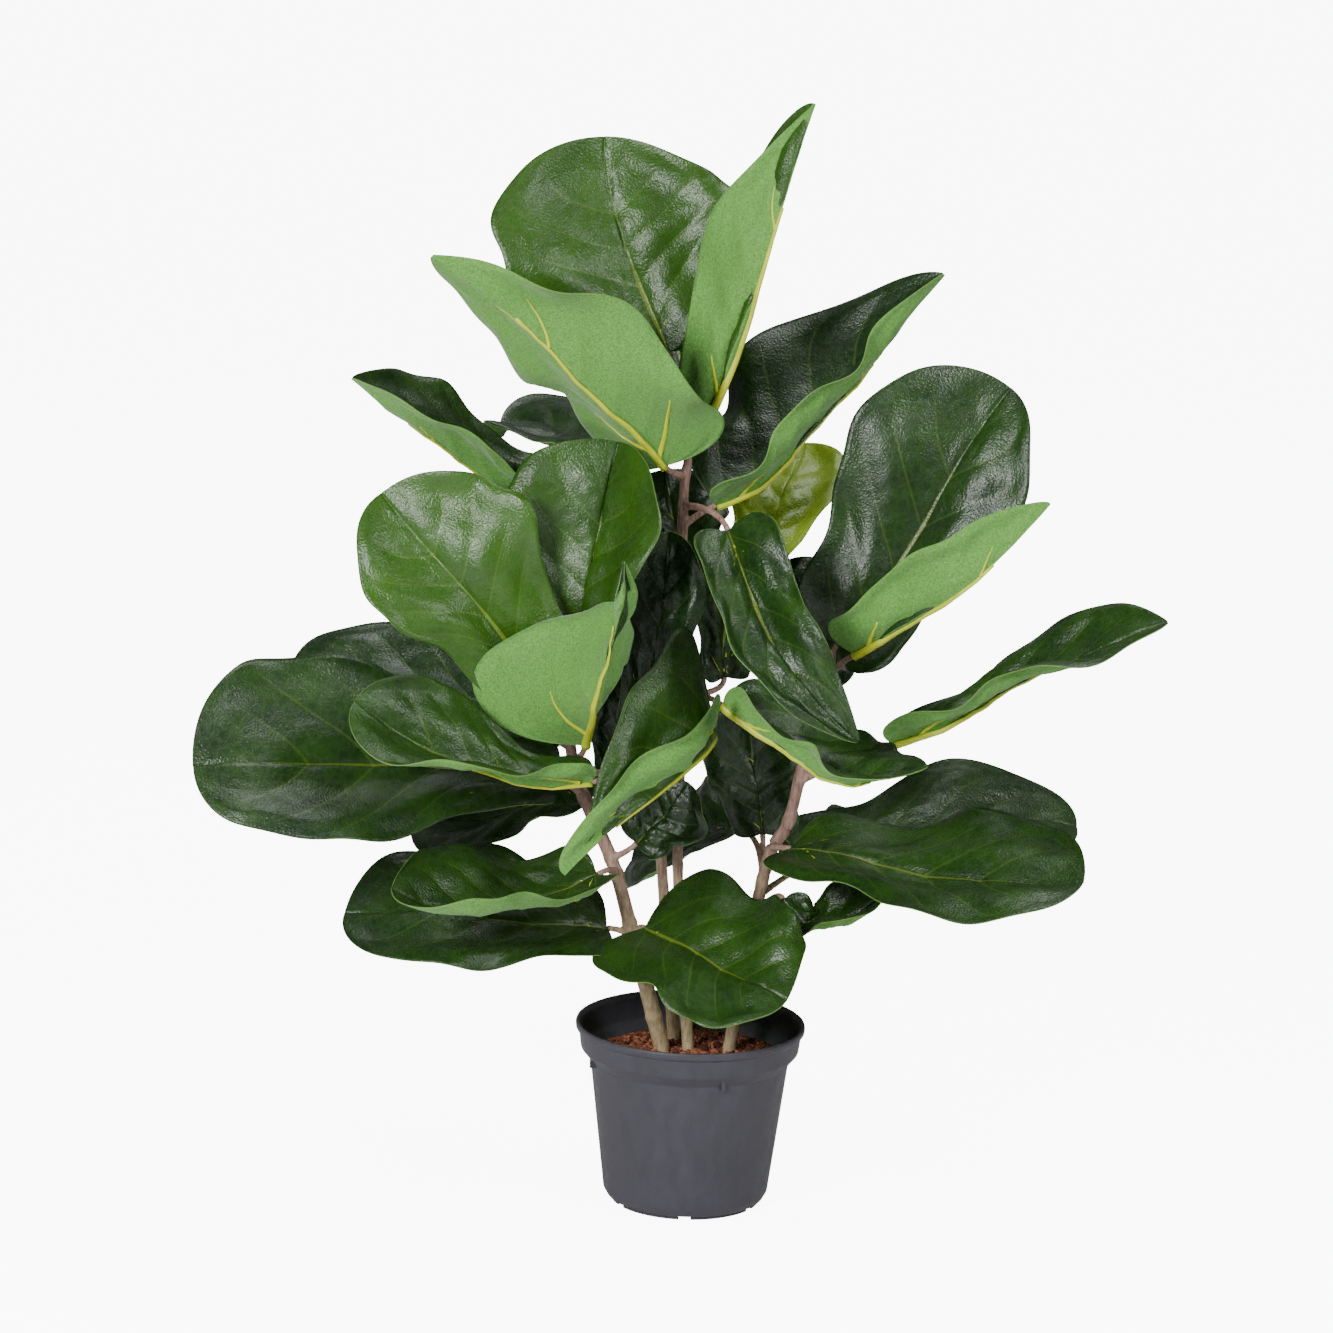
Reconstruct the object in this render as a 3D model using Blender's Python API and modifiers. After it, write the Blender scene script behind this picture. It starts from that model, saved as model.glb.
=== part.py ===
"""Fiddle leaf fig in a nursery pot, with its soil, four stems and every leaf as its own solid.

Metres, +Z up. The origin is the centre of the pot's underside. Leaves and stem routes are
written in centimetres, as a gardener would measure them, and turned to metres once.
"""

import math

import bmesh
import bpy
import numpy as np

CM = 0.01
MM = 0.001
GAP = 0.0003                      # clearance between pieces that touch
LEAF_THICKNESS = 0.0012
LEAF_ROWS, LEAF_COLUMNS = 8, 6    # faces along and across one leaf
NECK = 0.0015                     # half width of the blade where it meets its stalk
STALK_RADIUS = 0.0024             # at the stem; a stalk thins to STALK_TAPER of it at the blade
STALK_TAPER = 0.7
STALK_FACES = 4                   # straight runs along one stalk
STEM_STEP = 0.03                  # spacing of the points along a stem
SOIL_TOP = 0.101
SOIL_RADIUS = 0.064
POT_STEPS = 32
DRAINS = 6                        # slots in the foot of the pot

# The pot's wall in millimetres as (radius, height): up the inside, over the lip, down the outside.
POT_PROFILE = (
    (0, 3.0), (49.0, 3.0), (52.6, 6.0), (65.4, 97.5), (71.9, 106.0), (73.6, 121.0),
    (75.6, 124.0), (77.0, 124.0), (77.5, 122.5), (77.3, 119.5), (75.2, 118.0), (73.6, 106.0),
    (67.0, 98.0), (55.8, 8.0), (53.0, 3.0), (50.5, 2.2), (50.5, 0), (0, 0),
)

# Each stem as (x, y, z, radius) in centimetres, from the soil to its top leaf.
STEMS = {
    "stem_left": (
        (-1.9, 1.0, 10.30, 0.54), (-4.3, -0.6, 19.3, 0.50), (-5.6, -0.8, 23.6, 0.46),
        (-8.2, -0.6, 29.5, 0.40), (-8.9, -0.2, 34.5, 0.32),
    ),
    "stem_back": (
        (-1.1, 4.0, 10.17, 0.42), (-2.1, 4.0, 20.4, 0.40), (-2.9, 4.4, 27.0, 0.36),
        (-4.6, 5.6, 36.0, 0.32), (-6.0, 5.6, 44.0, 0.28),
    ),
    "stem_centre": (
        (-0.1, 1.5, 10.18, 0.40), (-1.1, 2.0, 21.0, 0.38), (-1.3, 2.0, 30.0, 0.37),
        (-1.6, 2.0, 46.8, 0.33), (-1.4, 2.0, 51.0, 0.30), (-2.0, 2.5, 55.4, 0.26),
    ),
    "stem_right": (
        (2.7, 1.5, 10.24, 0.46), (4.7, 2.0, 22.6, 0.42), (6.1, 2.0, 25.8, 0.42),
        (6.9, 2.0, 29.4, 0.40), (8.4, 2.0, 35.4, 0.34), (8.8, 2.0, 36.8, 0.28),
    ),
}

# How a leaf lies when nothing else is said. Pairs are (left half, right half), seen from its
# upper side with the tip away. Angles are in degrees and rise towards the upper side.
PLAIN_LEAF = {
    "fold": (12, 12),      # angle of each half at the midrib
    "curl": (0, 0),        # how much further each half turns by its edge
    "wave": (0.4, 0),      # height in centimetres and phase of the wavy edge
    "broad": 0.62,         # share of the length where the blade is widest
    "neck": 0.6,           # width near the stalk, as a share of the widest
    "lobe": (0.08, 0.08),  # how far the base lobes reach back, as a share of the length
    "point": (0.5, 0.5),   # how pointed the tip is: 0.5 is a round end, 1 and over are pointed
}

# name: stem, height in centimetres where the stalk leaves it, four points of the midrib
# (stalk, one third, two thirds, tip), direction the upper side faces, half widths.
LEAVES = {
    "crown_back": dict(
        grows=("stem_centre", 55.0), face=(0.1, -0.9, 0.35), wide=(9.0, 7.9), broad=0.56,
        rib=((-2.9, 3.0, 57.5), (-4.9, 4.5, 61.7), (-6.7, 6.0, 66.1), (-7.6, 7.0, 71.2)),
        fold=(14, 14), curl=(-10, 0)),
    "crown_left": dict(
        grows=("stem_centre", 49.4), face=(0.1, 0.9, 0.4), wide=(6.3, 5.5), broad=0.31,
        rib=((-2.9, 0.0, 50.4), (-6.4, -3.5, 54.7), (-11.4, -7.0, 60.0), (-18.1, -10.0, 65.4)),
        fold=(8, 25), curl=(0, 20), neck=0.85, wave=(0.6, 60), point=(1.0, 0.8)),
    "crown_right": dict(
        grows=("stem_centre", 51.6), face=(-0.5, 0.8, 0.2), wide=(4.2, 5.0), broad=0.45,
        rib=((-0.1, 1.0, 53.4), (1.9, 0.0, 59.0), (3.8, -1.0, 66.2), (6.1, -2.0, 74.9)),
        fold=(70, 48), fold_tip=(112, 50), curl=(0, 10), wave=(0.3, 0), point=(0.6, 1.0)),
    "upper_right": dict(
        grows=("stem_centre", 46.0), face=(-0.65, -0.1, 0.7), wide=(8.4, 4.4), broad=0.5,
        rib=((0.6, 2.0, 47.5), (5.4, 4.0, 50.3), (9.8, 7.0, 55.0), (15.4, 9.0, 62.4)),
        fold=(45, 30), curl=(0, 20), neck=0.85, wave=(0.7, 30), point=(0.8, 0.8)),
    "upper_left": dict(
        grows=("stem_back", 43.6), face=(0.2, 0.05, 0.95), wide=(3.6, 4.8),
        rib=((-9.1, 3.0, 47.2), (-14.1, 2.0, 48.9), (-18.8, 0.0, 52.0), (-23.5, -2.0, 56.0)),
        fold=(30, 50), fold_tip=(12, 45), curl=(15, 0), wave=(0.3, 0), point=(0.8, 0.8)),
    "upper_rear": dict(
        grows=("stem_back", 42.6), face=(0, -0.2, 0.97), wide=(5.5, 5.5),
        rib=((-6.0, 8.0, 48.6), (-8.4, 11.0, 49.8), (-10.9, 15.0, 49.8), (-14.4, 17.0, 49.4)),
        fold=(15, 15), wave=(0.5, 0)),
    "middle_front": dict(
        grows=("stem_left", 34.0), face=(-0.35, -0.9, 0.2), wide=(6.9, 6.0), broad=0.68,
        rib=((-8.2, -3.0, 37.5), (-7.7, -2.6, 42.2), (-7.0, -2.0, 46.7), (-6.0, -0.8, 52.1)),
        fold=(25, 32), wave=(0.3, 0)),
    "left_front": dict(
        grows=("stem_left", 33.2), face=(-0.2, -0.85, 0.4), wide=(5.4, 6.9), broad=0.58,
        rib=((-10.4, -3.8, 35.4), (-14.2, -4.6, 40.9), (-17.8, -4.4, 44.8), (-21.4, -3.0, 48.6))),
    "left_curl": dict(
        grows=("stem_left", 30.4), face=(0, 0.9, 0.4), wide=(4.6, 8.7), broad=0.25,
        rib=((-7.5, -6.0, 32.8), (-6.8, -9.6, 36.3), (-5.9, -12.6, 41.2), (-5.3, -14.5, 46.9)),
        fold=(80, -5), fold_tip=(55, 140), curl=(0, 10), neck=0.95, wave=(0.3, 0), point=(1, 2)),
    "left_rear": dict(
        grows=("stem_left", 29.0), face=(0, -0.5, 0.87), wide=(5.0, 5.4),
        rib=((-9.4, 4.0, 30.5), (-15.6, 7.0, 32.4), (-21.9, 9.0, 33.2), (-28.1, 10.0, 33.2)),
        fold=(10, 10), wave=(0.5, 0)),
    "left_long": dict(
        grows=("stem_left", 28.0), face=(-0.1, -0.75, 0.65), wide=(6.6, 8.2),
        rib=((-9.8, -2.4, 29.5), (-17.1, -4.0, 30.4), (-25.5, -7.0, 31.2), (-33.0, -9.0, 31.3)),
        fold=(8, 8), neck=0.4, wave=(0.7, 0)),
    "left_cup": dict(
        grows=("stem_left", 29.6), face=(0.1, -0.3, 0.9), face_tip=(-0.1, -0.7, 0.65),
        rib=((-7.0, -8.6, 31.0), (-12.0, -9.6, 31.2), (-17.2, -10.6, 33.2), (-22.4, -11.5, 36.6)),
        wide=(4.2, 4.6), broad=0.7, neck=0.5, fold=(70, 20), fold_tip=(0, 10), curl=(40, 0),
        wave=(0.3, 0)),
    "front_fold": dict(
        grows=("stem_centre", 32.4), face=(-0.1, 0.2, 0.9), wide=(3.2, 7.5), broad=0.3,
        rib=((0.9, -3.8, 33.8), (-0.6, -7.8, 32.0), (-4.4, -12.0, 29.7), (-8.5, -14.5, 26.2)),
        fold=(65, 80), fold_tip=(65, 75), curl=(10, 0), neck=0.95, lobe=(0.1, 0.45),
        wave=(0.3, 0), point=(0.5, 2.4)),
    "centre_low": dict(
        grows=("stem_left", 23.8), face=(-0.3, -0.9, 0.25), wide=(3.0, 3.0),
        rib=((-4.0, -1.2, 25.0), (-2.9, -1.3, 26.2), (-1.7, -1.4, 27.6), (-0.7, -1.6, 29.4)),
        fold=(15, 15), wave=(0.3, 0)),
    "low_left_rear": dict(
        grows=("stem_back", 24.6), face=(0, -0.5, 0.87), wide=(5.5, 5.5),
        rib=((-7.3, 6.0, 26.0), (-10.7, 9.0, 24.8), (-14.9, 12.0, 23.2), (-19.6, 14.0, 22.2)),
        fold=(10, 10)),
    "low_left_front": dict(
        grows=("stem_left", 22.8), face=(-0.1, -0.5, 0.85), wide=(5.2, 5.2),
        rib=((-6.5, -3.6, 23.4), (-10.2, -6.2, 22.4), (-15.0, -9.0, 22.4), (-19.8, -11.0, 24.0)),
        fold=(10, 10), curl=(80, 0), lobe=(0.12, 0.12), wave=(0.3, 0)),
    "low_left_flat": dict(
        grows=("stem_left", 18.4), face=(0, -0.5, 0.87), wide=(5.5, 6.5),
        rib=((-5.8, -1.0, 19.0), (-10.6, -2.0, 19.4), (-17.0, -2.0, 19.7), (-23.4, -1.0, 19.5)),
        fold=(8, 8), lobe=(0.02, 0.06)),
    "low_front": dict(
        grows=("stem_left", 18.0), face=(0.2, -0.75, 0.6), wide=(6.6, 5.6), broad=0.4,
        rib=((-3.3, -2.0, 19.4), (0.2, -6.0, 18.9), (3.3, -9.0, 18.1), (6.2, -11.0, 17.3)),
        fold=(10, 10), neck=0.9, lobe=(0.18, 0.18), wave=(0.6, 0)),
    "low_rear": dict(
        grows=("stem_right", 22.0), face=(0, -0.6, 0.8), wide=(5.0, 5.0),
        rib=((3.0, 7.0, 24.0), (1.0, 9.4, 23.2), (-1.4, 12.0, 21.7), (-4.4, 15.0, 19.5)),
        fold=(10, 10)),
    "centre_shade": dict(
        grows=("stem_centre", 30.4), face=(0, -0.97, 0.1), wide=(3.0, 2.8),
        rib=((-4.2, 0.8, 32.4), (-3.3, 0.0, 37.3), (-2.7, -0.2, 41.8), (-2.5, 0.0, 46.0)),
        fold=(20, 20)),
    "right_droop": dict(
        grows=("stem_centre", 47.4), face=(-0.2, -0.8, 0.5), wide=(3.6, 3.2), broad=0.4,
        rib=((1.4, -2.0, 46.6), (3.2, -6.0, 42.7), (5.6, -9.0, 39.0), (10.2, -10.0, 34.6)),
        fold=(20, 25), curl=(0, 30), neck=0.95, wave=(0.3, 0), point=(0.8, 0.8)),
    "right_cup": dict(
        grows=("stem_centre", 33.8), face=(0.1, 0, 1), wide=(4.8, 3.4),
        rib=((1.4, -2.0, 34.8), (6.0, -5.0, 32.2), (10.2, -8.0, 31.5), (14.8, -9.0, 32.9)),
        fold=(50, 70), fold_tip=(10, 0), neck=0.8, wave=(0.3, 0)),
    "low_right_up": dict(
        grows=("stem_right", 21.6), face=(0, -0.97, 0.1), wide=(3.6, 4.2),
        rib=((4.5, 4.6, 24.4), (4.1, 4.8, 27.0), (3.6, 4.8, 29.8), (3.2, 5.4, 34.3)),
        fold=(20, 20), wave=(0.3, 0)),
    "upper_right_rear": dict(
        grows=("stem_centre", 40.4), face=(-0.2, -0.6, 0.7), wide=(4.0, 4.2),
        rib=((3.2, 8.0, 42.5), (4.5, 10.0, 44.9), (5.7, 13.0, 47.0), (6.7, 16.0, 49.3)),
        fold=(10, 10), wave=(0.3, 0)),
    "right_tall": dict(
        grows=("stem_right", 36.6), face=(-0.2, -0.9, 0.25), wide=(7.6, 5.6),
        rib=((9.0, 2.0, 38.3), (12.5, 2.0, 43.4), (16.1, 3.0, 49.7), (19.9, 4.0, 55.7)),
        fold=(12, 18)),
    "right_fold": dict(
        grows=("stem_right", 36.2), face=(-0.5, 0.5, 0.6), wide=(4.2, 4.2), broad=0.5,
        rib=((10.1, -1.0, 38.3), (13.5, -4.0, 41.0), (17.7, -6.0, 44.8), (22.1, -7.0, 50.1)),
        fold=(62, 50), neck=0.8, wave=(0.5, 0), point=(0.8, 0.8)),
    "right_long": dict(
        grows=("stem_right", 28.8), face=(-0.4, 0.1, 0.9), face_tip=(-0.2, -0.3, 0.9),
        rib=((12.9, 1.0, 31.8), (18.9, 0.0, 34.8), (24.6, -2.0, 38.5), (30.4, -4.0, 41.8)),
        wide=(4.6, 4.2), fold=(25, 45), fold_tip=(20, 0), curl=(0, 20), point=(0.9, 0.7)),
    "low_right_rear": dict(
        grows=("stem_right", 22.8), face=(0, -0.5, 0.87), wide=(4.8, 4.8),
        rib=((7.0, 4.0, 23.4), (12.6, 8.0, 23.6), (19.5, 11.0, 24.3), (26.4, 13.0, 23.4)),
        fold=(10, 10)),
    "low_right_front": dict(
        grows=("stem_right", 24.2), face=(0, -0.4, 0.9), wide=(6.5, 5.5),
        rib=((6.3, -1.0, 24.9), (11.6, -5.0, 25.1), (18.5, -9.0, 25.3), (25.1, -12.0, 26.2)),
        fold=(8, 8), wave=(0.5, 0)),
    "low_right_under": dict(
        grows=("stem_right", 19.6), face=(-0.2, -0.2, 0.9), wide=(3.0, 3.0),
        rib=((6.0, 2.6, 20.4), (8.0, 1.0, 18.6), (11.0, 1.0, 19.9), (14.8, 1.0, 22.1)),
        fold=(30, 30), wave=(0.3, 0)),
    "right_shade": dict(
        grows=("stem_right", 33.6), face=(0, -0.9, 0.4), wide=(3.2, 3.4),
        rib=((8.5, 3.0, 34.9), (7.6, 5.0, 37.2), (6.5, 7.0, 39.8), (5.4, 9.0, 42.4)),
        fold=(20, 20), wave=(0.3, 0)),
    "droop_shade": dict(
        grows=("stem_centre", 34.4), face=(0, -0.95, 0.3), wide=(2.3, 3.2),
        rib=((1.5, 3.0, 35.6), (1.4, 2.4, 38.4), (1.7, 2.2, 41.6), (2.0, 2.4, 44.6)),
        fold=(15, 15), wave=(0.3, 0)),
    "left_shade": dict(
        grows=("stem_back", 25.0), face=(0, -0.9, 0.4), wide=(2.3, 2.3),
        rib=((-5.8, 2.6, 26.6), (-5.4, 3.0, 29.8), (-5.0, 3.2, 33.0), (-4.8, 3.4, 36.4)),
        fold=(20, 20), wave=(0.3, 0)),
    "rear_high": dict(
        grows=("stem_centre", 53.6), face=(0, -0.35, 0.9), wide=(5.6, 5.6),
        rib=((-1.6, 4.4, 55.4), (-2.6, 9.0, 58.2), (-3.4, 14.4, 60.4), (-3.8, 20.0, 61.0))),
    "rear_left": dict(
        grows=("stem_back", 37.0), face=(-0.1, -0.3, 0.9), wide=(5.2, 5.2),
        rib=((-7.0, 8.0, 39.0), (-9.4, 12.4, 41.2), (-11.6, 17.2, 42.6), (-13.6, 22.0, 42.4))),
    "rear_right": dict(
        grows=("stem_right", 32.2), face=(0.1, -0.3, 0.9), wide=(5.0, 5.0),
        rib=((9.6, 5.6, 36.0), (12.2, 10.4, 39.4), (14.4, 15.6, 41.8), (16.2, 21.0, 42.4))),
    "rear_low_left": dict(
        grows=("stem_back", 28.4), face=(-0.1, -0.2, 0.95), wide=(5.4, 5.4),
        rib=((-6.4, 7.6, 30.0), (-10.0, 12.0, 30.6), (-13.8, 16.4, 30.0), (-17.4, 20.6, 28.0))),
    "rear_low_right": dict(
        grows=("stem_right", 20.8), face=(0.1, -0.2, 0.95), wide=(5.0, 5.0),
        rib=((7.2, 6.4, 21.6), (10.4, 10.8, 21.8), (13.6, 15.4, 21.0), (16.6, 20.0, 19.0))),
    "centre_rear": dict(
        grows=("stem_centre", 38.6), face=(0, -0.9, 0.4), wide=(4.0, 4.0),
        rib=((-0.9, 6.0, 40.2), (-1.6, 8.0, 42.8), (-2.3, 11.0, 45.0), (-2.9, 13.0, 47.7)),
        fold=(15, 15), wave=(0.3, 0)),
}


def clear_scene():
    for obj in list(bpy.data.objects):
        bpy.data.objects.remove(obj)


def collection(name):
    made = bpy.data.collections.new(name)
    bpy.context.scene.collection.children.link(made)
    return made


def material(name, color, roughness):
    made = bpy.data.materials.new(name)
    made.use_nodes = True
    shader = made.node_tree.nodes["Principled BSDF"]
    shader.inputs["Base Color"].default_value = (*color, 1)
    shader.inputs["Roughness"].default_value = roughness
    shader.inputs["Metallic"].default_value = 0
    return made


def adopt(obj, name, finish, home):
    """Names an object, gives it its material and puts it in its collection."""
    obj.name = obj.data.name = name
    obj.data.materials.append(finish)
    for old in list(obj.users_collection):
        old.objects.unlink(obj)
    home.objects.link(obj)
    return obj


def as_tool(obj):
    obj.hide_render = True
    obj.display_type = "WIRE"
    return obj


def turned(name, profile, finish, home, steps):
    """A solid of revolution from (radius, height) points in millimetres."""
    mesh = bpy.data.meshes.new(name)
    mesh.from_pydata([(r * MM, 0, z * MM) for r, z in profile],
                     [(i, i + 1) for i in range(len(profile) - 1)], [])
    obj = bpy.data.objects.new(name, mesh)
    home.objects.link(obj)
    obj.data.materials.append(finish)
    screw = obj.modifiers.new("Turn", "SCREW")
    screw.steps = screw.render_steps = steps
    screw.use_merge_vertices = True
    screw.merge_threshold = 0.00001
    return obj


def boolean(obj, tool, operation):
    cut = obj.modifiers.new(tool.name, "BOOLEAN")
    cut.operation = operation
    cut.object = tool


def tube(name, points, radii, finish, home):
    """A round rod through the points, with its own radius at each, as a closed mesh."""
    curve = bpy.data.curves.new(name, "CURVE")
    curve.dimensions = "3D"
    curve.bevel_depth = 1
    curve.bevel_resolution = 2
    curve.use_fill_caps = True
    line = curve.splines.new("POLY")
    line.points.add(len(points) - 1)
    for place, point, radius in zip(line.points, points, radii):
        place.co = (*point, 1)
        place.radius = radius
    rod = bpy.data.objects.new(name, curve)
    home.objects.link(rod)
    graph = bpy.context.evaluated_depsgraph_get()
    mesh = bpy.data.meshes.new_from_object(rod.evaluated_get(graph))
    bpy.data.objects.remove(rod)
    shape = bmesh.new()
    shape.from_mesh(mesh)
    bmesh.ops.remove_doubles(shape, verts=shape.verts, dist=0.00001)
    shape.to_mesh(mesh)
    shape.free()
    obj = bpy.data.objects.new(name, mesh)
    home.objects.link(obj)
    mesh.materials.append(finish)
    return obj


def rib_at(rib, u):
    """The cubic through four points at equal steps, and its direction, at each u from 0 to 1."""
    points = np.array(rib) * CM
    knots = np.linspace(0, 1, 4)
    place = np.zeros(u.shape + (3,))
    slope = np.zeros(u.shape + (3,))
    for point, knot in zip(points, knots):
        a, b, c = knots[knots != knot]
        scale = (knot - a) * (knot - b) * (knot - c)
        place += ((u - a) * (u - b) * (u - c) / scale)[..., None] * point
        slope += (((u - b) * (u - c) + (u - a) * (u - c) + (u - a) * (u - b))
                  / scale)[..., None] * point
    return place, slope / np.linalg.norm(slope, axis=-1, keepdims=True)


def outline(u, broad, neck, point):
    """Half width from stalk to tip, as a share of the widest: round base, slight waist, tip."""
    base = np.sqrt(1 - (1 - np.clip(u / 0.16, 0, 1)) ** 2)
    tip = (1 - np.clip((u - broad) / (1 - broad), 0, 1) ** 2) ** point
    rise = np.clip((u - 0.12) / (broad - 0.12), 0, 1)
    swell = neck + (1 - neck) * rise ** 2 * (3 - 2 * rise)
    waist = 1 - 0.12 * np.exp(-((u - 0.36) / 0.13) ** 2)
    return base * tip * swell * waist, base


def leaf_surface(look, u, t):
    """Places on a leaf at u along it and t from -1, its left edge, to 1, its right edge.

    Each half leaves the midrib at its fold angle and turns on a circle by its curl, so a
    point at distance r along the half lies (sin(a + k r) - sin a) / k out and
    (cos a - cos(a + k r)) / k up, with k the curl over the half width. The edge waves along
    the surface's own normal, and the base lobes reach back along the midrib.
    """
    middle, ahead = rib_at(look["rib"], u)
    face = (np.array(look["face"], float) * (1 - u[..., None])
            + np.array(look.get("face_tip", look["face"]), float) * u[..., None])
    above = face - (face * ahead).sum(-1, keepdims=True) * ahead
    above /= np.linalg.norm(above, axis=-1, keepdims=True)
    across = np.cross(ahead, above)

    right = t >= 0
    side = np.where(right, 1.0, -1.0)
    half = np.where(right, look["wide"][1], look["wide"][0]) * CM
    point = np.where(right, look["point"][1], look["point"][0])
    share, base = outline(u, look["broad"], look["neck"], point)
    r = np.abs(t) * (half * share + NECK)
    start, end = np.radians(look["fold"]), np.radians(look.get("fold_tip", look["fold"]))
    angle = np.where(right, start[1], start[0]) * (1 - u) + np.where(right, end[1], end[0]) * u
    turn = np.radians(np.where(right, look["curl"][1], look["curl"][0]) + 0.1) / half
    out = (np.sin(angle + turn * r) - np.sin(angle)) / turn
    up = (np.cos(angle) - np.cos(angle + turn * r)) / turn
    tilt = angle + turn * r
    normal = (-np.sin(tilt) * side)[..., None] * across + np.cos(tilt)[..., None] * above

    height, phase = look["wave"]
    wave = (height * CM * t ** 2 * np.sqrt(np.sin(np.pi * u))
            * np.sin(4 * np.pi * u + math.radians(phase) + np.where(right, 2.0, 0.0)))
    length = np.linalg.norm(np.diff(np.array(look["rib"]) * CM, axis=0), axis=1).sum()
    lobe = np.where(right, look["lobe"][1], look["lobe"][0])
    back = lobe * length * np.abs(t) ** 1.5 * base * (1 - u) ** 4
    return (middle + (out * side)[..., None] * across + up[..., None] * above
            + wave[..., None] * normal - back[..., None] * ahead)


def leaf(name, look, finish, home):
    """One blade: a grid shaped by leaf_surface, then given its thickness."""
    bpy.ops.mesh.primitive_grid_add(x_subdivisions=LEAF_ROWS, y_subdivisions=LEAF_COLUMNS, size=2)
    obj = adopt(bpy.context.active_object, name, finish, home)
    points = np.empty(len(obj.data.vertices) * 3)
    obj.data.vertices.foreach_get("co", points)
    points = points.reshape(-1, 3)
    along = (1 - np.cos(np.pi * (points[:, 0] + 1) / 2)) / 2
    placed = leaf_surface(look, np.clip(along, 0, 1), -points[:, 1])
    obj.data.vertices.foreach_set("co", placed.ravel())
    obj.data.update()
    thick = obj.modifiers.new("Thickness", "SOLIDIFY")
    thick.thickness = LEAF_THICKNESS
    thick.offset = 0
    obj.data.shade_smooth()
    return obj


def stem_line(route):
    """Points and radii every few centimetres on the smooth curve through a stem's route."""
    knots = np.array(route) * CM
    padded = np.vstack([2 * knots[0] - knots[1], knots, 2 * knots[-1] - knots[-2]])
    line = []
    for before, start, end, after in zip(padded, padded[1:], padded[2:], padded[3:]):
        count = max(1, round(np.linalg.norm((end - start)[:3]) / STEM_STEP))
        for s in np.arange(count) / count:
            line.append(0.5 * (2 * start + (end - before) * s
                               + (2 * before - 5 * start + 4 * end - after) * s ** 2
                               + (3 * start - before - 3 * end + after) * s ** 3))
    line.append(knots[-1])
    return np.array(line)


def stalk_line(stem, look):
    """A bend from the middle of the stem to the blade, arriving along the midrib."""
    height = look["grows"][1] * CM
    start = np.array([np.interp(height, stem[:, 2], stem[:, i]) for i in range(3)])
    end, ahead = (value[0] for value in rib_at(look["rib"], np.zeros(1)))
    end = end - (GAP + 0.5 * LEAF_THICKNESS) * ahead
    bend = end - 0.4 * np.linalg.norm(end - start) * ahead
    s = np.linspace(0, 1, STALK_FACES + 1)[:, None]
    return (1 - s) ** 2 * start + 2 * s * (1 - s) * bend + s ** 2 * end


def stem(name, route, finish, home, tools):
    """A stem joined with the stalks of the leaves that grow from it."""
    line = stem_line(route)
    obj = tube(name, line[:, :3], line[:, 3], finish, home)
    for leaf_name, look in LEAVES.items():
        if look["grows"][0] != name:
            continue
        points = stalk_line(line, look)
        radii = np.linspace(STALK_RADIUS, STALK_TAPER * STALK_RADIUS, len(points))
        stalk = tube("stalk_" + leaf_name, points, radii, finish, tools)
        boolean(obj, as_tool(stalk), "UNION")
    return obj


def pot(finish, home, tools):
    """The nursery pot: one thin wall with a lip and collar, and slots through its foot."""
    obj = turned("pot", POT_PROFILE, finish, home, POT_STEPS)
    for i in range(DRAINS):
        turn = 2 * math.pi * (i + 0.5) / DRAINS
        bpy.ops.mesh.primitive_cube_add(size=1)
        slot = adopt(bpy.context.active_object, "drain_slot_%d" % (i + 1), finish, tools)
        slot.scale = (0.016, 0.008, 0.0085)
        slot.location = (0.043 * math.cos(turn), 0.043 * math.sin(turn), 0.0)
        slot.rotation_euler = (0, 0, turn)
        boolean(obj, as_tool(slot), "DIFFERENCE")
    return obj


def soil(finish, home):
    """The soil inside the pot, clear of the wall by a gap that widens as it has shrunk."""
    top, bottom = SOIL_TOP / MM, 3.4
    profile = ((0, top), (SOIL_RADIUS / MM, top), (51.9, 7.0), (48.0, bottom), (0, bottom))
    return turned("soil", profile, finish, home, POT_STEPS)


def main():
    clear_scene()
    home = collection("potted_fiddle_leaf_fig")
    tools = collection("joining_and_cutting_shapes")
    plastic = material("moulded grey plastic", (0.075, 0.075, 0.085), 0.55)
    crumbs = material("coir soil", (0.13, 0.045, 0.025), 0.95)
    bark = material("fig bark", (0.25, 0.17, 0.14), 0.75)
    blade = material("waxy leaf", (0.035, 0.12, 0.025), 0.35)
    pot(plastic, home, tools)
    soil(crumbs, home)
    for name, route in STEMS.items():
        stem(name, route, bark, home, tools)
    for name, own in LEAVES.items():
        leaf(name, {**PLAIN_LEAF, **own}, blade, home)


main()
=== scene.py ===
"""Looks of the potted fiddle leaf fig: coated leaves with pale undersides, stems, pot and soil."""
import math

import bpy
import numpy as np
from mathutils import Matrix, Vector


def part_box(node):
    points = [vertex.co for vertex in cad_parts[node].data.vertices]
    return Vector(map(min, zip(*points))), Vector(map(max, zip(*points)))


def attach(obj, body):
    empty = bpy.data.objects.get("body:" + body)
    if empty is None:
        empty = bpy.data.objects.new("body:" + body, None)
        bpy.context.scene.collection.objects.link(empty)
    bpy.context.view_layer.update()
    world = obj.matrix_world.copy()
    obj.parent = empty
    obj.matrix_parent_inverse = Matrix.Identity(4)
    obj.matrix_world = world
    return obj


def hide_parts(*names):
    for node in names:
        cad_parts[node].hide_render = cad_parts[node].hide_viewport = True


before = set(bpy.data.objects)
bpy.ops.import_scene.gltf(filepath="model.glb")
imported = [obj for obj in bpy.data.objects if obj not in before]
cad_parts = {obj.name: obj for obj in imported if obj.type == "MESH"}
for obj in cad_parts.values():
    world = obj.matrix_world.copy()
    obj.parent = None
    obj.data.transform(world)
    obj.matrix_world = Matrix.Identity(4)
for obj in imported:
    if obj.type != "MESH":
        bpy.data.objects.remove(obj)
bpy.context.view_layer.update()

CM = 0.01
MM = 0.001
LEAF_THICKNESS = 0.7 * MM
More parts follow.
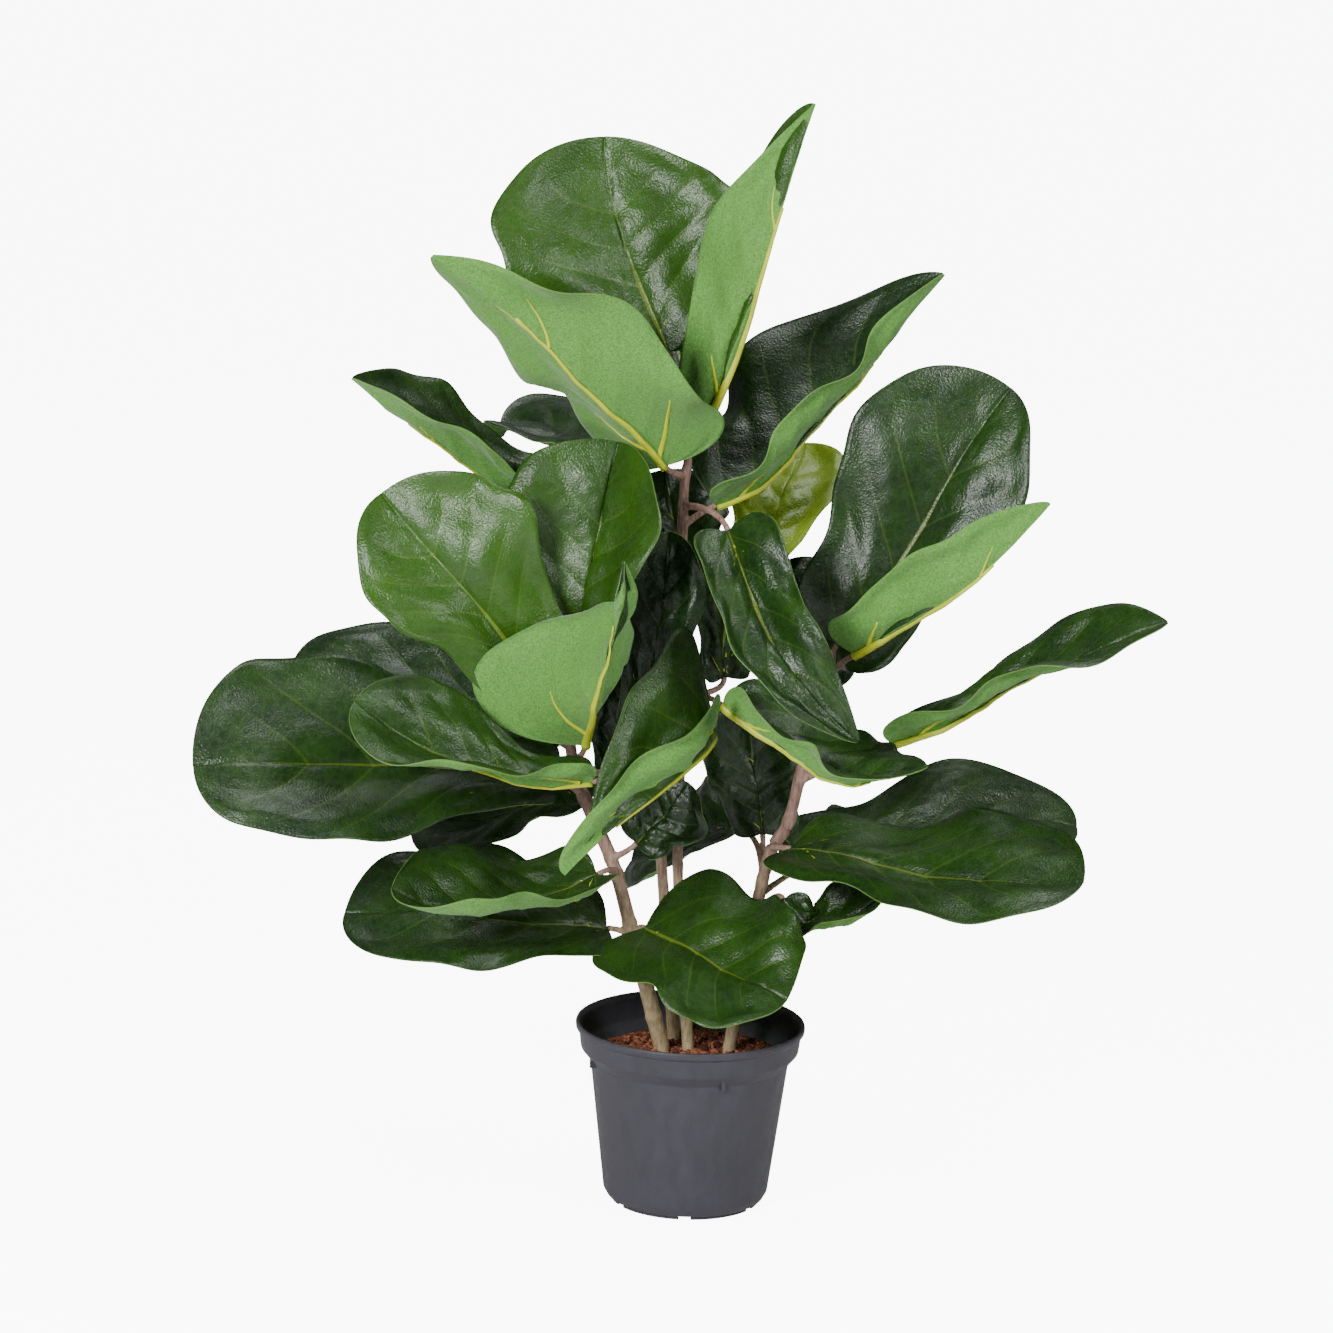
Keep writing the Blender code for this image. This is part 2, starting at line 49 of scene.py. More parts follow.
NECK = 1.5 * MM                  # half width of the blade where it meets its stalk
LEAF_GRID = (96, 48)             # faces along and across one side of a leaf
VEIN_PAIRS = 6.0                 # side veins on each half of a leaf
STALK_RADIUS = 2.4 * MM
SOIL_RADIUS = 64 * MM

# The wall of the pot in millimetres as (radius, height): up the inside, over the lip, down the outside.
POT_PROFILE = (
    (0, 3.0), (49.0, 3.0), (52.6, 6.0), (65.4, 97.5), (71.9, 106.0), (73.6, 121.0),
    (75.6, 124.0), (77.0, 124.0), (77.5, 122.5), (77.3, 119.5), (75.2, 118.0), (73.6, 106.0),
    (67.0, 98.0), (55.8, 8.0), (53.0, 3.0), (50.5, 2.2), (50.5, 0), (0, 0),
)

# Each stem as (x, y, z, radius) in centimetres, from the soil to its top leaf.
STEMS = {
    "stem_left": (
        (-1.9, 1.0, 10.30, 0.54), (-4.3, -0.6, 19.3, 0.50), (-5.6, -0.8, 23.6, 0.46),
        (-8.2, -0.6, 29.5, 0.40), (-8.9, -0.2, 34.5, 0.32),
    ),
    "stem_back": (
        (-1.1, 4.0, 10.17, 0.42), (-2.1, 4.0, 20.4, 0.40), (-2.9, 4.4, 27.0, 0.36),
        (-4.6, 5.6, 36.0, 0.32), (-6.0, 5.6, 44.0, 0.28),
    ),
    "stem_centre": (
        (-0.1, 1.5, 10.18, 0.40), (-1.1, 2.0, 21.0, 0.38), (-1.3, 2.0, 30.0, 0.37),
        (-1.6, 2.0, 46.8, 0.33), (-1.4, 2.0, 51.0, 0.30), (-2.0, 2.5, 55.4, 0.26),
    ),
    "stem_right": (
        (2.7, 1.5, 10.24, 0.46), (4.7, 2.0, 22.6, 0.42), (6.1, 2.0, 25.8, 0.42),
        (6.9, 2.0, 29.4, 0.40), (8.4, 2.0, 35.4, 0.34), (8.8, 2.0, 36.8, 0.28),
    ),
}

# How a leaf lies when nothing else is said. Pairs are (left half, right half), seen from its
# upper side with the tip away. Angles are in degrees and rise towards the upper side.
PLAIN_LEAF = {
    "fold": (12, 12),      # angle of each half at the midrib
    "curl": (0, 0),        # how much further each half turns by its edge
    "wave": (0.4, 0),      # height in centimetres and phase of the wavy edge
    "broad": 0.62,         # share of the length where the blade is widest
    "neck": 0.6,           # width near the stalk, as a share of the widest
    "lobe": (0.08, 0.08),  # how far the base lobes reach back, as a share of the length
    "point": (0.5, 0.5),   # how pointed the tip is: 0.5 is a round end, 1 and over are pointed
}

# name: stem, height in centimetres where the stalk leaves it, four points of the midrib
# (stalk, one third, two thirds, tip), direction the upper side faces, half widths.
LEAVES = {
    "crown_back": dict(
        grows=("stem_centre", 55.0), face=(0.1, -0.9, 0.35), wide=(9.0, 7.9), broad=0.56,
        rib=((-2.9, 3.0, 57.5), (-4.9, 4.5, 61.7), (-6.7, 6.0, 66.1), (-7.6, 7.0, 71.2)),
        fold=(14, 14), curl=(-10, 0)),
    "crown_left": dict(
        grows=("stem_centre", 49.4), face=(0.1, 0.9, 0.4), wide=(6.3, 5.5), broad=0.31,
        rib=((-2.9, 0.0, 50.4), (-6.4, -3.5, 54.7), (-11.4, -7.0, 60.0), (-18.1, -10.0, 65.4)),
        fold=(8, 25), curl=(0, 20), neck=0.85, wave=(0.6, 60), point=(1.0, 0.8)),
    "crown_right": dict(
        grows=("stem_centre", 51.6), face=(-0.5, 0.8, 0.2), wide=(4.2, 5.0), broad=0.45,
        rib=((-0.1, 1.0, 53.4), (1.9, 0.0, 59.0), (3.8, -1.0, 66.2), (6.1, -2.0, 74.9)),
        fold=(70, 48), fold_tip=(112, 50), curl=(0, 10), wave=(0.3, 0), point=(0.6, 1.0)),
    "upper_right": dict(
        grows=("stem_centre", 46.0), face=(-0.65, -0.1, 0.7), wide=(8.4, 4.4), broad=0.5,
        rib=((0.6, 2.0, 47.5), (5.4, 4.0, 50.3), (9.8, 7.0, 55.0), (15.4, 9.0, 62.4)),
        fold=(45, 30), curl=(0, 20), neck=0.85, wave=(0.7, 30), point=(0.8, 0.8)),
    "upper_left": dict(
        grows=("stem_back", 43.6), face=(0.2, 0.05, 0.95), wide=(3.6, 4.8),
        rib=((-9.1, 3.0, 47.2), (-14.1, 2.0, 48.9), (-18.8, 0.0, 52.0), (-23.5, -2.0, 56.0)),
        fold=(30, 50), fold_tip=(12, 45), curl=(15, 0), wave=(0.3, 0), point=(0.8, 0.8)),
    "upper_rear": dict(
        grows=("stem_back", 42.6), face=(0, -0.2, 0.97), wide=(5.5, 5.5),
        rib=((-6.0, 8.0, 48.6), (-8.4, 11.0, 49.8), (-10.9, 15.0, 49.8), (-14.4, 17.0, 49.4)),
        fold=(15, 15), wave=(0.5, 0)),
    "middle_front": dict(
        grows=("stem_left", 34.0), face=(-0.35, -0.9, 0.2), wide=(6.9, 6.0), broad=0.68,
        rib=((-8.2, -3.0, 37.5), (-7.7, -2.6, 42.2), (-7.0, -2.0, 46.7), (-6.0, -0.8, 52.1)),
        fold=(25, 32), wave=(0.3, 0)),
    "left_front": dict(
        grows=("stem_left", 33.2), face=(-0.2, -0.85, 0.4), wide=(5.4, 6.9), broad=0.58,
        rib=((-10.4, -3.8, 35.4), (-14.2, -4.6, 40.9), (-17.8, -4.4, 44.8), (-21.4, -3.0, 48.6))),
    "left_curl": dict(
        grows=("stem_left", 30.4), face=(0, 0.9, 0.4), wide=(4.6, 8.7), broad=0.25,
        rib=((-7.5, -6.0, 32.8), (-6.8, -9.6, 36.3), (-5.9, -12.6, 41.2), (-5.3, -14.5, 46.9)),
        fold=(80, -5), fold_tip=(55, 140), curl=(0, 10), neck=0.95, wave=(0.3, 0), point=(1, 2)),
    "left_rear": dict(
        grows=("stem_left", 29.0), face=(0, -0.5, 0.87), wide=(5.0, 5.4),
        rib=((-9.4, 4.0, 30.5), (-15.6, 7.0, 32.4), (-21.9, 9.0, 33.2), (-28.1, 10.0, 33.2)),
        fold=(10, 10), wave=(0.5, 0)),
    "left_long": dict(
        grows=("stem_left", 28.0), face=(-0.1, -0.75, 0.65), wide=(6.6, 8.2),
        rib=((-9.8, -2.4, 29.5), (-17.1, -4.0, 30.4), (-25.5, -7.0, 31.2), (-33.0, -9.0, 31.3)),
        fold=(8, 8), neck=0.4, wave=(0.7, 0)),
    "left_cup": dict(
        grows=("stem_left", 29.6), face=(0.1, -0.3, 0.9), face_tip=(-0.1, -0.7, 0.65),
        rib=((-7.0, -8.6, 31.0), (-12.0, -9.6, 31.2), (-17.2, -10.6, 33.2), (-22.4, -11.5, 36.6)),
        wide=(4.2, 4.6), broad=0.7, neck=0.5, fold=(70, 20), fold_tip=(0, 10), curl=(40, 0),
        wave=(0.3, 0)),
    "front_fold": dict(
        grows=("stem_centre", 32.4), face=(-0.1, 0.2, 0.9), wide=(3.2, 7.5), broad=0.3,
        rib=((0.9, -3.8, 33.8), (-0.6, -7.8, 32.0), (-4.4, -12.0, 29.7), (-8.5, -14.5, 26.2)),
        fold=(65, 80), fold_tip=(65, 75), curl=(10, 0), neck=0.95, lobe=(0.1, 0.45),
        wave=(0.3, 0), point=(0.5, 2.4)),
    "centre_low": dict(
        grows=("stem_left", 23.8), face=(-0.3, -0.9, 0.25), wide=(3.0, 3.0),
        rib=((-4.0, -1.2, 25.0), (-2.9, -1.3, 26.2), (-1.7, -1.4, 27.6), (-0.7, -1.6, 29.4)),
        fold=(15, 15), wave=(0.3, 0)),
    "low_left_rear": dict(
        grows=("stem_back", 24.6), face=(0, -0.5, 0.87), wide=(5.5, 5.5),
        rib=((-7.3, 6.0, 26.0), (-10.7, 9.0, 24.8), (-14.9, 12.0, 23.2), (-19.6, 14.0, 22.2)),
        fold=(10, 10)),
    "low_left_front": dict(
        grows=("stem_left", 22.8), face=(-0.1, -0.5, 0.85), wide=(5.2, 5.2),
        rib=((-6.5, -3.6, 23.4), (-10.2, -6.2, 22.4), (-15.0, -9.0, 22.4), (-19.8, -11.0, 24.0)),
        fold=(10, 10), curl=(80, 0), lobe=(0.12, 0.12), wave=(0.3, 0)),
    "low_left_flat": dict(
        grows=("stem_left", 18.4), face=(0, -0.5, 0.87), wide=(5.5, 6.5),
        rib=((-5.8, -1.0, 19.0), (-10.6, -2.0, 19.4), (-17.0, -2.0, 19.7), (-23.4, -1.0, 19.5)),
        fold=(8, 8), lobe=(0.02, 0.06)),
    "low_front": dict(
        grows=("stem_left", 18.0), face=(0.2, -0.75, 0.6), wide=(6.6, 5.6), broad=0.4,
        rib=((-3.3, -2.0, 19.4), (0.2, -6.0, 18.9), (3.3, -9.0, 18.1), (6.2, -11.0, 17.3)),
        fold=(10, 10), neck=0.9, lobe=(0.18, 0.18), wave=(0.6, 0)),
    "low_rear": dict(
        grows=("stem_right", 22.0), face=(0, -0.6, 0.8), wide=(5.0, 5.0),
        rib=((3.0, 7.0, 24.0), (1.0, 9.4, 23.2), (-1.4, 12.0, 21.7), (-4.4, 15.0, 19.5)),
        fold=(10, 10)),
    "centre_shade": dict(
        grows=("stem_centre", 30.4), face=(0, -0.97, 0.1), wide=(3.0, 2.8),
        rib=((-4.2, 0.8, 32.4), (-3.3, 0.0, 37.3), (-2.7, -0.2, 41.8), (-2.5, 0.0, 46.0)),
        fold=(20, 20)),
    "right_droop": dict(
        grows=("stem_centre", 47.4), face=(-0.2, -0.8, 0.5), wide=(3.6, 3.2), broad=0.4,
        rib=((1.4, -2.0, 46.6), (3.2, -6.0, 42.7), (5.6, -9.0, 39.0), (10.2, -10.0, 34.6)),
        fold=(20, 25), curl=(0, 30), neck=0.95, wave=(0.3, 0), point=(0.8, 0.8)),
    "right_cup": dict(
        grows=("stem_centre", 33.8), face=(0.1, 0, 1), wide=(4.8, 3.4),
        rib=((1.4, -2.0, 34.8), (6.0, -5.0, 32.2), (10.2, -8.0, 31.5), (14.8, -9.0, 32.9)),
        fold=(50, 70), fold_tip=(10, 0), neck=0.8, wave=(0.3, 0)),
    "low_right_up": dict(
        grows=("stem_right", 21.6), face=(0, -0.97, 0.1), wide=(3.6, 4.2),
        rib=((4.5, 4.6, 24.4), (4.1, 4.8, 27.0), (3.6, 4.8, 29.8), (3.2, 5.4, 34.3)),
        fold=(20, 20), wave=(0.3, 0)),
    "upper_right_rear": dict(
        grows=("stem_centre", 40.4), face=(-0.2, -0.6, 0.7), wide=(4.0, 4.2),
        rib=((3.2, 8.0, 42.5), (4.5, 10.0, 44.9), (5.7, 13.0, 47.0), (6.7, 16.0, 49.3)),
        fold=(10, 10), wave=(0.3, 0)),
    "right_tall": dict(
        grows=("stem_right", 36.6), face=(-0.2, -0.9, 0.25), wide=(7.6, 5.6),
        rib=((9.0, 2.0, 38.3), (12.5, 2.0, 43.4), (16.1, 3.0, 49.7), (19.9, 4.0, 55.7)),
        fold=(12, 18)),
    "right_fold": dict(
        grows=("stem_right", 36.2), face=(-0.5, 0.5, 0.6), wide=(4.2, 4.2), broad=0.5,
        rib=((10.1, -1.0, 38.3), (13.5, -4.0, 41.0), (17.7, -6.0, 44.8), (22.1, -7.0, 50.1)),
        fold=(62, 50), neck=0.8, wave=(0.5, 0), point=(0.8, 0.8)),
    "right_long": dict(
        grows=("stem_right", 28.8), face=(-0.4, 0.1, 0.9), face_tip=(-0.2, -0.3, 0.9),
        rib=((12.9, 1.0, 31.8), (18.9, 0.0, 34.8), (24.6, -2.0, 38.5), (30.4, -4.0, 41.8)),
        wide=(4.6, 4.2), fold=(25, 45), fold_tip=(20, 0), curl=(0, 20), point=(0.9, 0.7)),
    "low_right_rear": dict(
        grows=("stem_right", 22.8), face=(0, -0.5, 0.87), wide=(4.8, 4.8),
        rib=((7.0, 4.0, 23.4), (12.6, 8.0, 23.6), (19.5, 11.0, 24.3), (26.4, 13.0, 23.4)),
        fold=(10, 10)),
    "low_right_front": dict(
        grows=("stem_right", 24.2), face=(0, -0.4, 0.9), wide=(6.5, 5.5),
        rib=((6.3, -1.0, 24.9), (11.6, -5.0, 25.1), (18.5, -9.0, 25.3), (25.1, -12.0, 26.2)),
        fold=(8, 8), wave=(0.5, 0)),
    "low_right_under": dict(
        grows=("stem_right", 19.6), face=(-0.2, -0.2, 0.9), wide=(3.0, 3.0),
        rib=((6.0, 2.6, 20.4), (8.0, 1.0, 18.6), (11.0, 1.0, 19.9), (14.8, 1.0, 22.1)),
        fold=(30, 30), wave=(0.3, 0)),
    "right_shade": dict(
        grows=("stem_right", 33.6), face=(0, -0.9, 0.4), wide=(3.2, 3.4),
        rib=((8.5, 3.0, 34.9), (7.6, 5.0, 37.2), (6.5, 7.0, 39.8), (5.4, 9.0, 42.4)),
        fold=(20, 20), wave=(0.3, 0)),
    "droop_shade": dict(
        grows=("stem_centre", 34.4), face=(0, -0.95, 0.3), wide=(2.3, 3.2),
        rib=((1.5, 3.0, 35.6), (1.4, 2.4, 38.4), (1.7, 2.2, 41.6), (2.0, 2.4, 44.6)),
        fold=(15, 15), wave=(0.3, 0)),
    "left_shade": dict(
        grows=("stem_back", 25.0), face=(0, -0.9, 0.4), wide=(2.3, 2.3),
        rib=((-5.8, 2.6, 26.6), (-5.4, 3.0, 29.8), (-5.0, 3.2, 33.0), (-4.8, 3.4, 36.4)),
        fold=(20, 20), wave=(0.3, 0)),
    "rear_high": dict(
        grows=("stem_centre", 53.6), face=(0, -0.35, 0.9), wide=(5.6, 5.6),
        rib=((-1.6, 4.4, 55.4), (-2.6, 9.0, 58.2), (-3.4, 14.4, 60.4), (-3.8, 20.0, 61.0))),
    "rear_left": dict(
        grows=("stem_back", 37.0), face=(-0.1, -0.3, 0.9), wide=(5.2, 5.2),
        rib=((-7.0, 8.0, 39.0), (-9.4, 12.4, 41.2), (-11.6, 17.2, 42.6), (-13.6, 22.0, 42.4))),
    "rear_right": dict(
        grows=("stem_right", 32.2), face=(0.1, -0.3, 0.9), wide=(5.0, 5.0),
        rib=((9.6, 5.6, 36.0), (12.2, 10.4, 39.4), (14.4, 15.6, 41.8), (16.2, 21.0, 42.4))),
    "rear_low_left": dict(
        grows=("stem_back", 28.4), face=(-0.1, -0.2, 0.95), wide=(5.4, 5.4),
        rib=((-6.4, 7.6, 30.0), (-10.0, 12.0, 30.6), (-13.8, 16.4, 30.0), (-17.4, 20.6, 28.0))),
    "rear_low_right": dict(
        grows=("stem_right", 20.8), face=(0.1, -0.2, 0.95), wide=(5.0, 5.0),
        rib=((7.2, 6.4, 21.6), (10.4, 10.8, 21.8), (13.6, 15.4, 21.0), (16.6, 20.0, 19.0))),
    "centre_rear": dict(
        grows=("stem_centre", 38.6), face=(0, -0.9, 0.4), wide=(4.0, 4.0),
        rib=((-0.9, 6.0, 40.2), (-1.6, 8.0, 42.8), (-2.3, 11.0, 45.0), (-2.9, 13.0, 47.7)),
        fold=(15, 15), wave=(0.3, 0)),
}

# How yellow and bright the upper side of a leaf is: 0 is the deepest green, 1 the freshest.
# Values below 0 are painted shade: they pull leaves that sit in the shade deep inside the plant
# further towards the deep green. The 1.35 of upper_right_rear is a painted glow of light shining
# through that leaf from behind.
FRESHNESS_AND_PAINTED_LIGHT = {
    "crown_back": 0.42, "left_front": 0.5, "middle_front": 0.35, "upper_right_rear": 1.35,
    "front_fold": 0.2, "left_cup": 0.2, "low_front": 0.18, "crown_right": 0.3,
    "low_left_front": 0.15, "left_rear": 0.0, "centre_shade": -0.1, "left_shade": -0.1,
    "right_shade": 0.0, "low_rear": 0.0, "droop_shade": -0.1, "centre_low": -0.1,
    "low_right_up": 0.0, "upper_rear": 0.0, "upper_right": 0.0,
}
USUAL_FRESHNESS = 0.1

# How far the margin ripples in and out of the blade, in millimetres.
RIPPLE = {"crown_left": 4.5, "upper_right": 3.5, "low_right_front": 3.5, "right_droop": 3.0,
          "upper_left": 3.0, "right_long": 3.0, "low_front": 3.0, "left_long": 3.0,
          "low_left_flat": 3.0, "right_cup": 3.0, "crown_right": 3.0}
USUAL_RIPPLE = 1.8

# Halves that bend up a little more than the solid's, so that one side of the leaf falls into shade.
DEEPER_FOLD = {"left_front": (20, 7)}


# ---------------------------------------------------------------- meshes

def mesh_object(name, points, blocks, smooth=True):
    """A mesh from its points and its blocks of faces, each block an array of rows of corners."""
    mesh = bpy.data.meshes.new(name)
    mesh.from_pydata(points.reshape(-1, 3).tolist(), [], sum((block.tolist() for block in blocks), []))
    mesh.polygons.foreach_set("use_smooth", [smooth] * len(mesh.polygons))
    obj = bpy.data.objects.new(name, mesh)
    bpy.context.scene.collection.objects.link(obj)
    return obj


def declare(obj, slot, *nodes):
    """Every piece rides on the one body; nodes are the frame's solids that it stands for."""
    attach(obj, "root")
    if nodes:
        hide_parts(*nodes)
    return obj


def grid_faces(rows, columns, wrap=False, start=0):
    """Quads between rows x columns points; wrap joins the last column to the first."""
    i, j = np.meshgrid(np.arange(rows - 1), np.arange(columns - (not wrap)), indexing="ij")
    k = (j + 1) % columns
    quads = np.stack([i * columns + j, i * columns + k,
                      (i + 1) * columns + k, (i + 1) * columns + j], -1)
    return quads.reshape(-1, 4) + start


def fan(centre, ring):
    """Triangles from a middle point to each side of a closed ring."""
    return np.stack([np.full(len(ring), centre), ring, np.roll(ring, -1)], -1)


def float_attribute(obj, name, values):
    layer = obj.data.attributes.new(name, "FLOAT", "POINT")
    layer.data.foreach_set("value", np.asarray(values, np.float32).ravel())


def tube(path, radii, sides=12):
    """Points and faces of a closed round rod: a circle of the given radius carried along the
    path, square to it, with a point in the middle of each end."""
    ahead = np.gradient(path, axis=0)
    ahead /= np.linalg.norm(ahead, axis=1, keepdims=True)
    aside = np.cross(ahead, (0.31, 0.17, 0.93))
    weak = np.linalg.norm(aside, axis=1) < 0.2
    aside[weak] = np.cross(ahead[weak], (1.0, 0.0, 0.0))
    aside /= np.linalg.norm(aside, axis=1, keepdims=True)
    over = np.cross(ahead, aside)
    angle = np.linspace(0, 2 * np.pi, sides, endpoint=False)
    ring = (np.cos(angle)[None, :, None] * aside[:, None] + np.sin(angle)[None, :, None] * over[:, None])
    walls = path[:, None] + ring * np.asarray(radii).reshape(len(path), -1)[:, :, None]
    return capped(walls, path[0], path[-1])


def capped(walls, near, far):
    """Points and blocks of faces of a closed rod from its rings and its two end points."""
    rows, sides = walls.shape[:2]
    ring = np.arange(sides)
    count = rows * sides
    points = np.vstack([walls.reshape(-1, 3), [near], [far]])
    return points, [grid_faces(rows, sides, wrap=True), fan(count, ring)[:, [0, 2, 1]],
                    fan(count + 1, ring + count - sides)]


def joined(parts):
    """One array of points and one list of blocks from several pairs of them."""
    starts = np.cumsum([0] + [len(points) for points, _ in parts])
    blocks = [block + start for start, (_, some) in zip(starts, parts) for block in some]
    return np.vstack([points for points, _ in parts]), blocks


# ---------------------------------------------------------------- leaves

def rib_at(rib, u):
    """The cubic through four points at equal steps, and its direction, at each u from 0 to 1."""
    points = np.array(rib) * CM
    knots = np.linspace(0, 1, 4)
    place = np.zeros(u.shape + (3,))
    slope = np.zeros(u.shape + (3,))
    for point, knot in zip(points, knots):
        a, b, c = knots[knots != knot]
        scale = (knot - a) * (knot - b) * (knot - c)
        place += ((u - a) * (u - b) * (u - c) / scale)[..., None] * point
        slope += (((u - b) * (u - c) + (u - a) * (u - c) + (u - a) * (u - b))
                  / scale)[..., None] * point
    return place, slope / np.linalg.norm(slope, axis=-1, keepdims=True)


def outline(u, broad, neck, point):
    """Half width from stalk to tip, as a share of the widest: round base, slight waist, tip."""
    base = np.sqrt(1 - (1 - np.clip(u / 0.16, 0, 1)) ** 2)
    tip = (1 - np.clip((u - broad) / (1 - broad), 0, 1) ** 2) ** point
    rise = np.clip((u - 0.12) / (broad - 0.12), 0, 1)
    swell = neck + (1 - neck) * rise ** 2 * (3 - 2 * rise)
    waist = 1 - 0.12 * np.exp(-((u - 0.36) / 0.13) ** 2)
    return base * tip * swell * waist, base


def leaf_surface(look, u, t):
    """Places on a leaf at u along it and t from -1, its left edge, to 1, its right edge.

    Each half leaves the midrib at its fold angle and turns on a circle by its curl, so a
    point at distance r along the half lies (sin(a + k r) - sin a) / k out and
    (cos a - cos(a + k r)) / k up, with k the curl over the half width. The edge waves along
    the surface's own normal, and the base lobes reach back along the midrib.
    """
    middle, ahead = rib_at(look["rib"], u)
    face = (np.array(look["face"], float) * (1 - u[..., None])
            + np.array(look.get("face_tip", look["face"]), float) * u[..., None])
    above = face - (face * ahead).sum(-1, keepdims=True) * ahead
    above /= np.linalg.norm(above, axis=-1, keepdims=True)
    across = np.cross(ahead, above)

    right = t >= 0
    side = np.where(right, 1.0, -1.0)
    half = np.where(right, look["wide"][1], look["wide"][0]) * CM
    point = np.where(right, look["point"][1], look["point"][0])
    share, base = outline(u, look["broad"], look["neck"], point)
    r = np.abs(t) * (half * share + NECK)
    start, end = np.radians(look["fold"]), np.radians(look.get("fold_tip", look["fold"]))
    angle = np.where(right, start[1], start[0]) * (1 - u) + np.where(right, end[1], end[0]) * u
    turn = np.radians(np.where(right, look["curl"][1], look["curl"][0]) + 0.1) / half
    out = (np.sin(angle + turn * r) - np.sin(angle)) / turn
    up = (np.cos(angle) - np.cos(angle + turn * r)) / turn
    tilt = angle + turn * r
    normal = (-np.sin(tilt) * side)[..., None] * across + np.cos(tilt)[..., None] * above

    height, phase = look["wave"]
    wave = (height * CM * t ** 2 * np.sqrt(np.sin(np.pi * u))
            * np.sin(4 * np.pi * u + math.radians(phase) + np.where(right, 2.0, 0.0)))
    length = np.linalg.norm(np.diff(np.array(look["rib"]) * CM, axis=0), axis=1).sum()
    lobe = np.where(right, look["lobe"][1], look["lobe"][0])
    back = lobe * length * np.abs(t) ** 1.5 * base * (1 - u) ** 4
    return (middle + (out * side)[..., None] * across + up[..., None] * above
            + wave[..., None] * normal - back[..., None] * ahead)


def vein_count(u, t):
    """Which side vein a place lies on: whole numbers are veins, which lean towards the tip."""
    return (u - 0.26 * np.abs(t) - 0.08 * t ** 2) * VEIN_PAIRS


def relief(u, t, seed, ripple_height):
    """Height over the smooth blade: pillows between the veins with small creases across them,
    a groove along the midrib, slow dents and a rippled margin, each a product of sines whose
    phases come from the seed."""
    count = vein_count(u, t)
    inside = np.clip(5 * (1 - np.abs(t)), 0, 1) * np.sin(np.pi * np.clip(u, 0, 1)) ** 0.5
    inside *= np.clip(8 * (1 - u), 0, 1)
    pillow = np.abs(np.sin(np.pi * count)) ** 0.7
    crease = np.sin(46 * np.abs(t) + 3 * np.sin(5 * count + seed)) * pillow
    groove = np.exp(-(t / 0.035) ** 2)
    dent = np.sin(7.1 * u + 3.0 * t + seed) * np.sin(4.3 * t - 3.7 * u + 2.2 * seed)
    ripple = np.sin(14 * u + 2.0 * np.sign(t) + 1.7 * seed) + 0.6 * np.sin(25 * u + 3.1 * seed)
    ripple *= t ** 4 * np.sin(np.pi * np.clip(u, 0, 1)) ** 0.5
    return (1.4 * pillow * inside + 0.26 * crease * inside - 0.9 * groove
            + 4.5 * dent * inside + ripple_height * ripple) * MM


def uneven(u, t, seed):
    """t stretched or shrunk a few parts in a hundred along the leaf, so that its outline wobbles."""
    side = np.sign(t)
    return t * (0.97 + 0.042 * np.sin(11 * u + 2.1 * seed + side)
                + 0.02 * np.sin(26 * u + 3.3 * seed - side))


def leaf_sheet(look, u, t, seed):
    """Places and outward normals of the blade's middle surface with its relief."""
    step = 1e-3
    def smooth(a, b):
        a = np.clip(a, 0, 1)
        return leaf_surface(look, a, uneven(a, b, seed))
    place = smooth(u, t)
    along = smooth(u + step, t) - smooth(u - step, t)
    sideways = smooth(u, np.where(t < 0, t, t + step)) - smooth(u, np.where(t < 0, t - step, t))
    normal = np.cross(sideways, along)
    normal /= np.linalg.norm(normal, axis=-1, keepdims=True) + 1e-12
    return place + relief(u, t, seed, look["ripple"])[..., None] * normal, normal


def leaf_blade(name, look, seed, finishes):
    """The blade as a closed sheet: an upper grid, an under grid and the edge between them."""
    rows, columns = LEAF_GRID[0] + 1, LEAF_GRID[1] + 1
    u = (1 - np.cos(np.pi * np.linspace(0, 1, rows))) / 2
    s = np.linspace(-1, 1, columns)
    t = np.sign(s) * np.abs(s) ** 1.25
    U, T = np.meshgrid(u, t, indexing="ij")
    place, normal = leaf_sheet(look, U, T, seed)
    upper = place + normal * LEAF_THICKNESS / 2
    under = place - normal * LEAF_THICKNESS / 2
    top = grid_faces(rows, columns)
    count = rows * columns
    bottom = grid_faces(rows, columns, start=count)[:, ::-1]
    index = np.arange(count).reshape(rows, columns)
    ring = np.concatenate([index[:-1, 0], index[-1, :-1], index[:0:-1, -1], index[0, :0:-1]])
    after = np.roll(ring, -1)
    edge = np.stack([ring, after, after + count, ring + count], -1)
    obj = mesh_object(name + "_blade", np.concatenate([upper, under]), [top, bottom, edge])
    for finish in finishes:
        obj.data.materials.append(finish)
    sides = np.repeat([0, 1, 2], [len(top), len(bottom), len(edge)])
    obj.data.polygons.foreach_set("material_index", sides.astype(np.int32))
    corners = np.empty(len(obj.data.loops), np.int32)
    obj.data.loops.foreach_get("vertex_index", corners)
    where = np.stack([np.tile(U.ravel(), 2), np.tile((T.ravel() + 1) / 2, 2)], -1)
    layer = obj.data.uv_layers.new(name="blade")
    layer.data.foreach_set("uv", where[corners].astype(np.float32).ravel())
    float_attribute(obj, "fresh_and_painted_light", np.full(count * 2, FRESHNESS_AND_PAINTED_LIGHT.get(name, USUAL_FRESHNESS)))
    return obj


def rib_tube(look, seed, u, t, radii):
    """A rib under the blade: a half round as deep as its radius, its flat back sunk into the
    cloth, carried along the given places."""
    place, normal = leaf_sheet(look, u, t, seed)
    ahead = np.gradient(place, axis=0)
    aside = np.cross(ahead, normal)
    aside /= np.linalg.norm(aside, axis=1, keepdims=True)
    angle = np.linspace(0, np.pi, 7)
    across, down = np.cos(angle), np.sin(angle)
    ring = (place[:, None] + (across * radii[:, None])[..., None] * aside[:, None]
            - (down * 0.95 * radii[:, None] + 0.1 * MM)[..., None] * normal[:, None])
    return capped(ring, place[0], place[-1])


